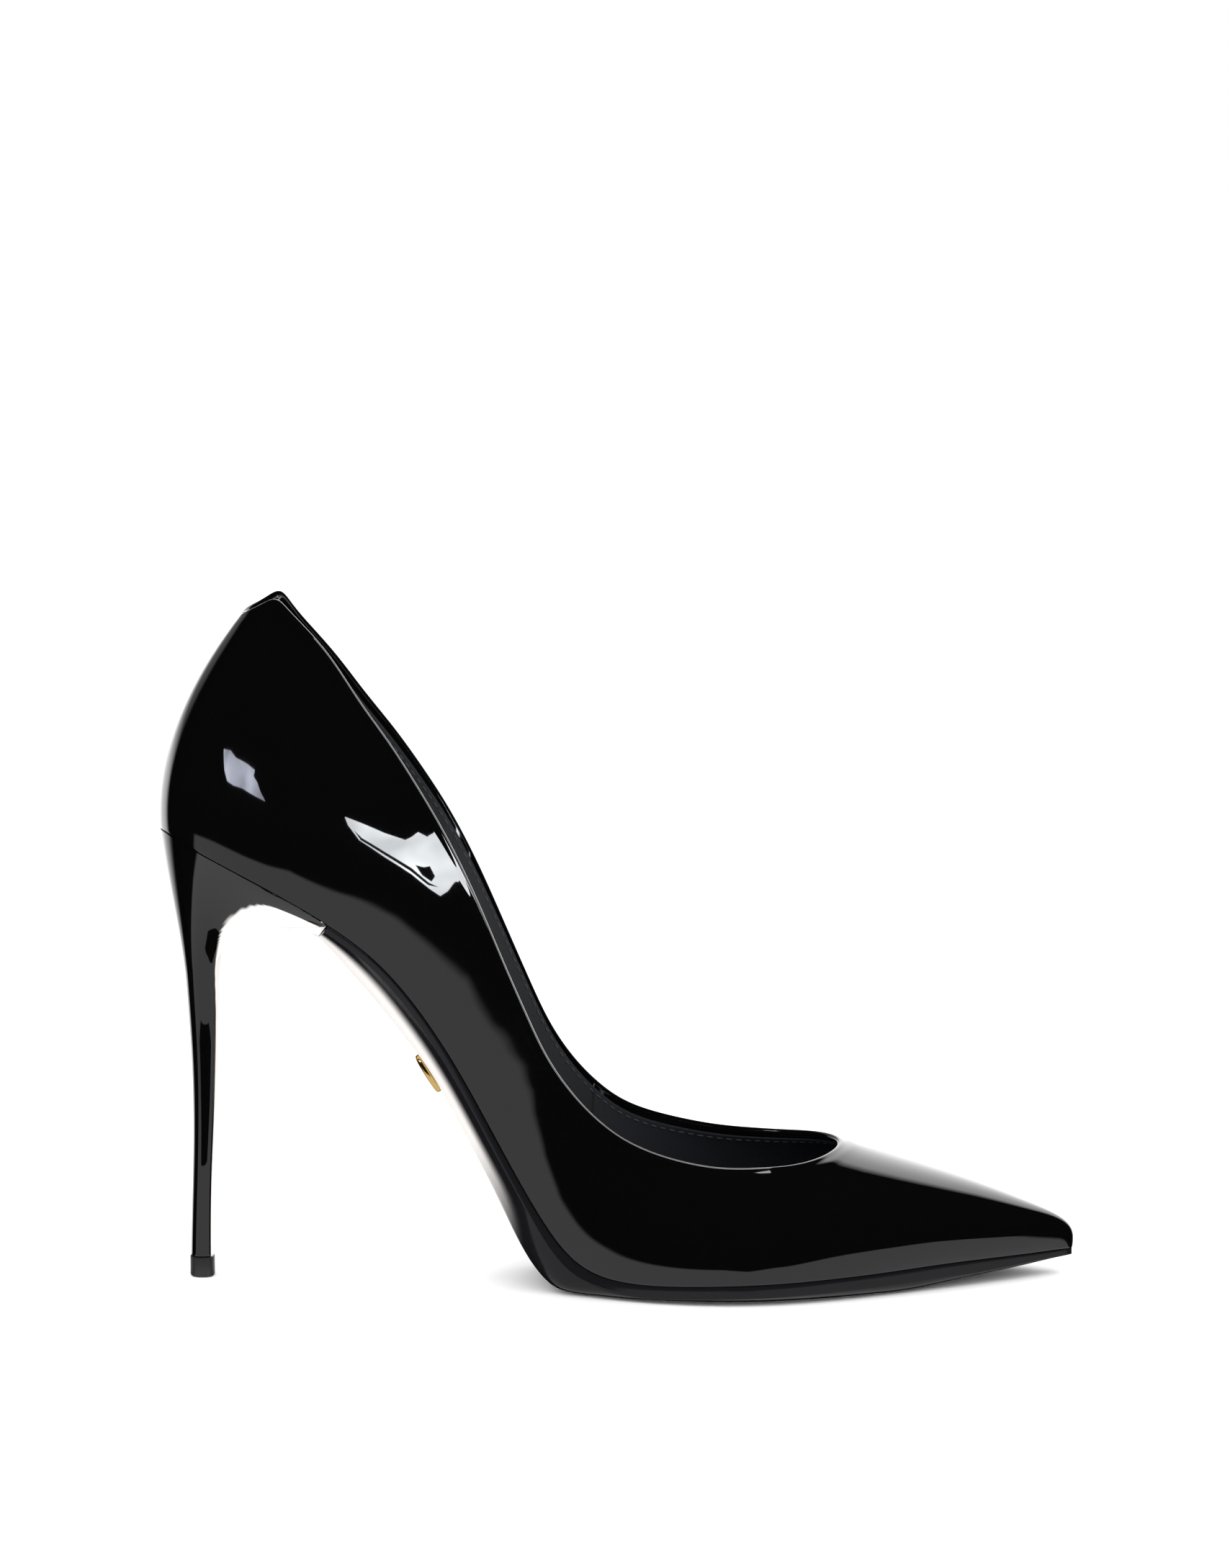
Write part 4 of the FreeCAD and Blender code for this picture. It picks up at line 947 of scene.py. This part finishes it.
def build_world():
    """White to the eye, soft white light on matt surfaces, and a dark studio in reflections."""
    world = bpy.data.worlds.new("studio")
    bpy.context.scene.world = world
    world.use_nodes = True
    nodes, links = world.node_tree.nodes, world.node_tree.links
    nodes.clear()
    backgrounds = []
    for strength in (1.0, 1.0, SOFT_LIGHT):
        background = nodes.new("ShaderNodeBackground")
        background.inputs["Color"].default_value = (1, 1, 1, 1)
        background.inputs["Strength"].default_value = strength
        backgrounds.append(background)
    seen, mirrored, soft = backgrounds
    output = nodes.new("ShaderNodeOutputWorld")
    path = nodes.new("ShaderNodeLightPath")
    by_gloss = nodes.new("ShaderNodeMixShader")
    by_eye = nodes.new("ShaderNodeMixShader")
    links.new(path.outputs["Is Glossy Ray"], by_gloss.inputs["Fac"])
    links.new(soft.outputs[0], by_gloss.inputs[1])
    links.new(mirrored.outputs[0], by_gloss.inputs[2])
    links.new(path.outputs["Is Camera Ray"], by_eye.inputs["Fac"])
    links.new(by_gloss.outputs[0], by_eye.inputs[1])
    links.new(seen.outputs[0], by_eye.inputs[2])
    links.new(by_eye.outputs[0], output.inputs["Surface"])
    links.new(studio_brightness(world.node_tree), mirrored.inputs["Color"])


# Outlines of the lamps that the leather mirrors, on their own planes, mm.
QUARTER_LAMP = [
    (-18, 13.5), (-12.5, 10.4), (-7.5, 7.4), (-2.2, 5), (-0.7, 5.8), (1, 7.2), (3.2, 5.7), (4.3, 6.9),
    (6.2, 4.1), (9.5, -1.5), (14, -6), (18, -11), (21, -16.3), (16, -13), (11.5, -9.5), (8.4, -6.6),
    (6.9, -9.5), (5.4, -11), (3.3, -9.2), (-0.7, -5.2), (-7.5, -0.1), (-14, 5.5), (-17.1, 10.7)]
QUARTER_HOLE = [(0.3, -2.5), (2.2, -3.1), (3.6, -2.8), (4.6, -5.6), (3.8, -7.1), (1.8, -5.4)]
QUARTER_SLOT = [
    (-15.6, 9), (-13.3, 6.1), (-7.3, 1.4), (-0.5, -3.5), (3.2, -7.4), (5.2, -8.6), (3, -8.1),
    (-0.8, -4.4), (-7.5, 0.6), (-13.7, 5.5)]
COUNTER_LAMP = [
    (-25.7, 9.8), (-14, 8.5), (-5.8, 5.4), (7.2, 3.7), (14, 2.3), (12.7, -0.4), (16.2, -2.5),
    (19.3, -6.2), (24, -10), (13.2, -8.6), (1.4, -7), (-8.4, -6.9), (-15.1, -5.6), (-20, -0.3)]
STEM_FLAG = [(-14, -5), (14, -5), (24, 12), (26, 24), (12, 31), (-12, 31), (-26, 24), (-24, 12)]

# Centre and facing direction of each lamp's plane.
QUARTER_PLACE = ((69.5, -46.9, 109.2), (0.187, -0.98, -0.069))
COUNTER_PLACE = ((-14.8, -91.4, 145.4), (-0.461, -0.872, 0.167))
STEM_PLACE = ((10.0, -30.0, 27.0), (0, -1, 0))
MASK_LIFT = 0.3              # the dark masks lie this far in front of their lamp
EDGE_LAMP_RISE = 6.0         # height over the near top edge
EDGE_LAMP_HALF = 1.7         # half its width

# Camera: where it stands, the point that it looks at, and its lens, mm.
EYE = (114.74, -1500.0, 336.0)
AIM = (114.74, 0.0, 126.0)
LENS = 138.1

TABLE_TOP = -0.0002          # just below the shoe, m
SOFT_LIGHT = 1.75            # strength of the sky on matt surfaces


def lamp_look(name, color, strength, uneven=0.0, scale=120.0):
    """Light of one lamp, a little uneven over its face."""
    material = bpy.data.materials.new(name)
    material.use_nodes = True
    tree = material.node_tree
    tree.nodes.clear()
    output = tree.nodes.new("ShaderNodeOutputMaterial")
    glow = tree.nodes.new("ShaderNodeEmission")
    glow.inputs["Color"].default_value = (*color, 1.0)
    glow.inputs["Strength"].default_value = strength
    tree.links.new(glow.outputs[0], output.inputs["Surface"])
    if uneven:
        place = tree.nodes.new("ShaderNodeTexCoord")
        noise = tree.nodes.new("ShaderNodeTexNoise")
        noise.inputs["Scale"].default_value = scale
        noise.inputs["Detail"].default_value = 1.5
        spread = tree.nodes.new("ShaderNodeMapRange")
        spread.inputs["From Min"].default_value = 0.3
        spread.inputs["From Max"].default_value = 0.7
        spread.inputs["To Min"].default_value = strength * (1 - uneven)
        spread.inputs["To Max"].default_value = strength * (1 + uneven)
        tree.links.new(place.outputs["Object"], noise.inputs["Vector"])
        tree.links.new(noise.outputs["Fac"], spread.inputs["Value"])
        tree.links.new(spread.outputs["Result"], glow.inputs["Strength"])
    return material


def mirrored_only(obj, material):
    """A lamp that shows in the leather and nowhere else."""
    obj.data.materials.clear()
    obj.data.materials.append(material)
    obj.visible_camera = obj.visible_diffuse = obj.visible_shadow = False


def lamp_card(name, outline, centre, facing, lift, material):
    """Flat lamp: an outline on the plane through a point, square to a direction."""
    facing = unit(np.array(facing, float))
    across = unit(np.cross(facing, (0, 0, -1)))
    up = np.cross(facing, across)
    bpy.ops.mesh.primitive_circle_add(vertices=len(outline), radius=1.0, fill_type="NGON")
    obj = bpy.context.active_object
    obj.name = obj.data.name = name
    points = np.array([np.array(centre) - facing * lift + u * across + v * up for u, v in outline])
    obj.data.vertices.foreach_set("co", to_frame(points).reshape(-1))
    obj.data.update()
    mirrored_only(obj, material)
    return obj


def edge_lamp(material):
    """Strip of light that follows the near top edge a little above it."""
    edge = fan_points(np.linspace(-1.68, -0.42, 90), 1.0, 0.0)
    run = unit(np.gradient(edge, axis=0) * (1, 0, 1))
    raised = edge + vec(-run[:, 2], 0, run[:, 0]) * EDGE_LAMP_RISE
    rows = [raised + (0, y, 0) for y in (-EDGE_LAMP_HALF, 0.0, EDGE_LAMP_HALF)]
    mirrored_only(grid_piece("edge_lamp", np.stack(rows)), material)


def make_table(size):
    """White table, which the patent leather doesn't mirror."""
    bpy.ops.mesh.primitive_plane_add(size=size, location=(0, 0, 0))
    table = bpy.context.active_object
    table.name = "white_table"
    table.location.z = TABLE_TOP
    material = new_material("white_table_look", (0.9, 0.9, 0.9), 0.8)
    material.node_tree.nodes["Principled BSDF"].inputs["Specular IOR Level"].default_value = 0.0
    table.data.materials.append(material)
    table.visible_glossy = False


def make_camera():
    """Long lens, level across, a little above the shoe."""
    eye, aim = to_frame(EYE), to_frame(AIM)
    bpy.ops.object.camera_add(location=eye)
    camera = bpy.context.active_object
    camera.rotation_euler = (math.atan2(aim[1] - eye[1], eye[2] - aim[2]), 0, 0)
    camera.data.lens = LENS
    camera.data.sensor_width = 36.0
    camera.data.clip_end = 50.0
    bpy.context.scene.camera = camera


def make_sun():
    """Weak broad light from above that grounds the shoe with a soft shadow."""
    bpy.ops.object.light_add(type="SUN", location=(0.1, -0.3, 1.0), rotation=(0.25, 0.1, 0))
    sun = bpy.context.active_object
    sun.data.energy, sun.data.angle = 0.5, 1.2
    sun.visible_glossy = False


def make_lamps(bright):
    """Lamps and dark cards that the leather mirrors."""
    white = lamp_look("quarter_lamp_look", (0.93, 0.97, 1.0), bright * 1.15, 0.3, 90.0)
    cool = lamp_look("counter_lamp_look", (0.80, 0.84, 1.0), bright * 0.5, 0.5, 60.0)
    dark = lamp_look("slot_look", (0, 0, 0), 0.0)
    line = lamp_look("edge_lamp_look", (1, 1, 1), bright * 0.33)
    lamp_card("quarter_lamp", QUARTER_LAMP, *QUARTER_PLACE, 0.0, white)
    lamp_card("quarter_lamp_hole", QUARTER_HOLE, *QUARTER_PLACE, MASK_LIFT, dark)
    lamp_card("quarter_lamp_slot", QUARTER_SLOT, *QUARTER_PLACE, MASK_LIFT, dark)
    lamp_card("counter_lamp", COUNTER_LAMP, *COUNTER_PLACE, 0.0, cool)
    lamp_card("stem_flag", STEM_FLAG, *STEM_PLACE, 0.0, dark)
    edge_lamp(line)


class SHOE_OT_stage(PieceOperator, bpy.types.Operator):
    """Set the white table, the camera and the light"""
    bl_idname = "shoe.stage"
    bl_label = "Stage"

    def execute(self, context):
        settings = context.scene.shoe_settings
        make_table(settings.floor_size)
        build_world()
        make_camera()
        make_sun()
        make_lamps(settings.softbox)
        context.scene.view_settings.view_transform = "Standard"
        return {"FINISHED"}


class SHOE_PT_panel(bpy.types.Panel):
    """Buttons that build each group of the shoe"""
    bl_label = "Patent court shoe"
    bl_idname = "SHOE_PT_panel"
    bl_space_type = "VIEW_3D"
    bl_region_type = "UI"
    bl_category = "Shoe"

    def draw(self, context):
        settings = context.scene.shoe_settings
        self.layout.prop(settings, "floor_size")
        self.layout.prop(settings, "softbox")
        for name in PIECE_GROUPS:
            self.layout.operator(f"shoe.{name}")


PIECE_GROUPS = ("upper", "linings", "sole", "heel", "stage")
CLASSES = (
    ShoeSettings, SHOE_OT_upper, SHOE_OT_linings, SHOE_OT_sole, SHOE_OT_heel, SHOE_OT_stage, SHOE_PT_panel)


def register():
    for cls in CLASSES:
        bpy.utils.register_class(cls)
    bpy.types.Scene.shoe_settings = bpy.props.PointerProperty(type=ShoeSettings)


def unregister():
    del bpy.types.Scene.shoe_settings
    for cls in reversed(CLASSES):
        bpy.utils.unregister_class(cls)


def main():
    register()
    for name in PIECE_GROUPS:
        getattr(bpy.ops.shoe, name)()


if __name__ == "__main__":
    main()
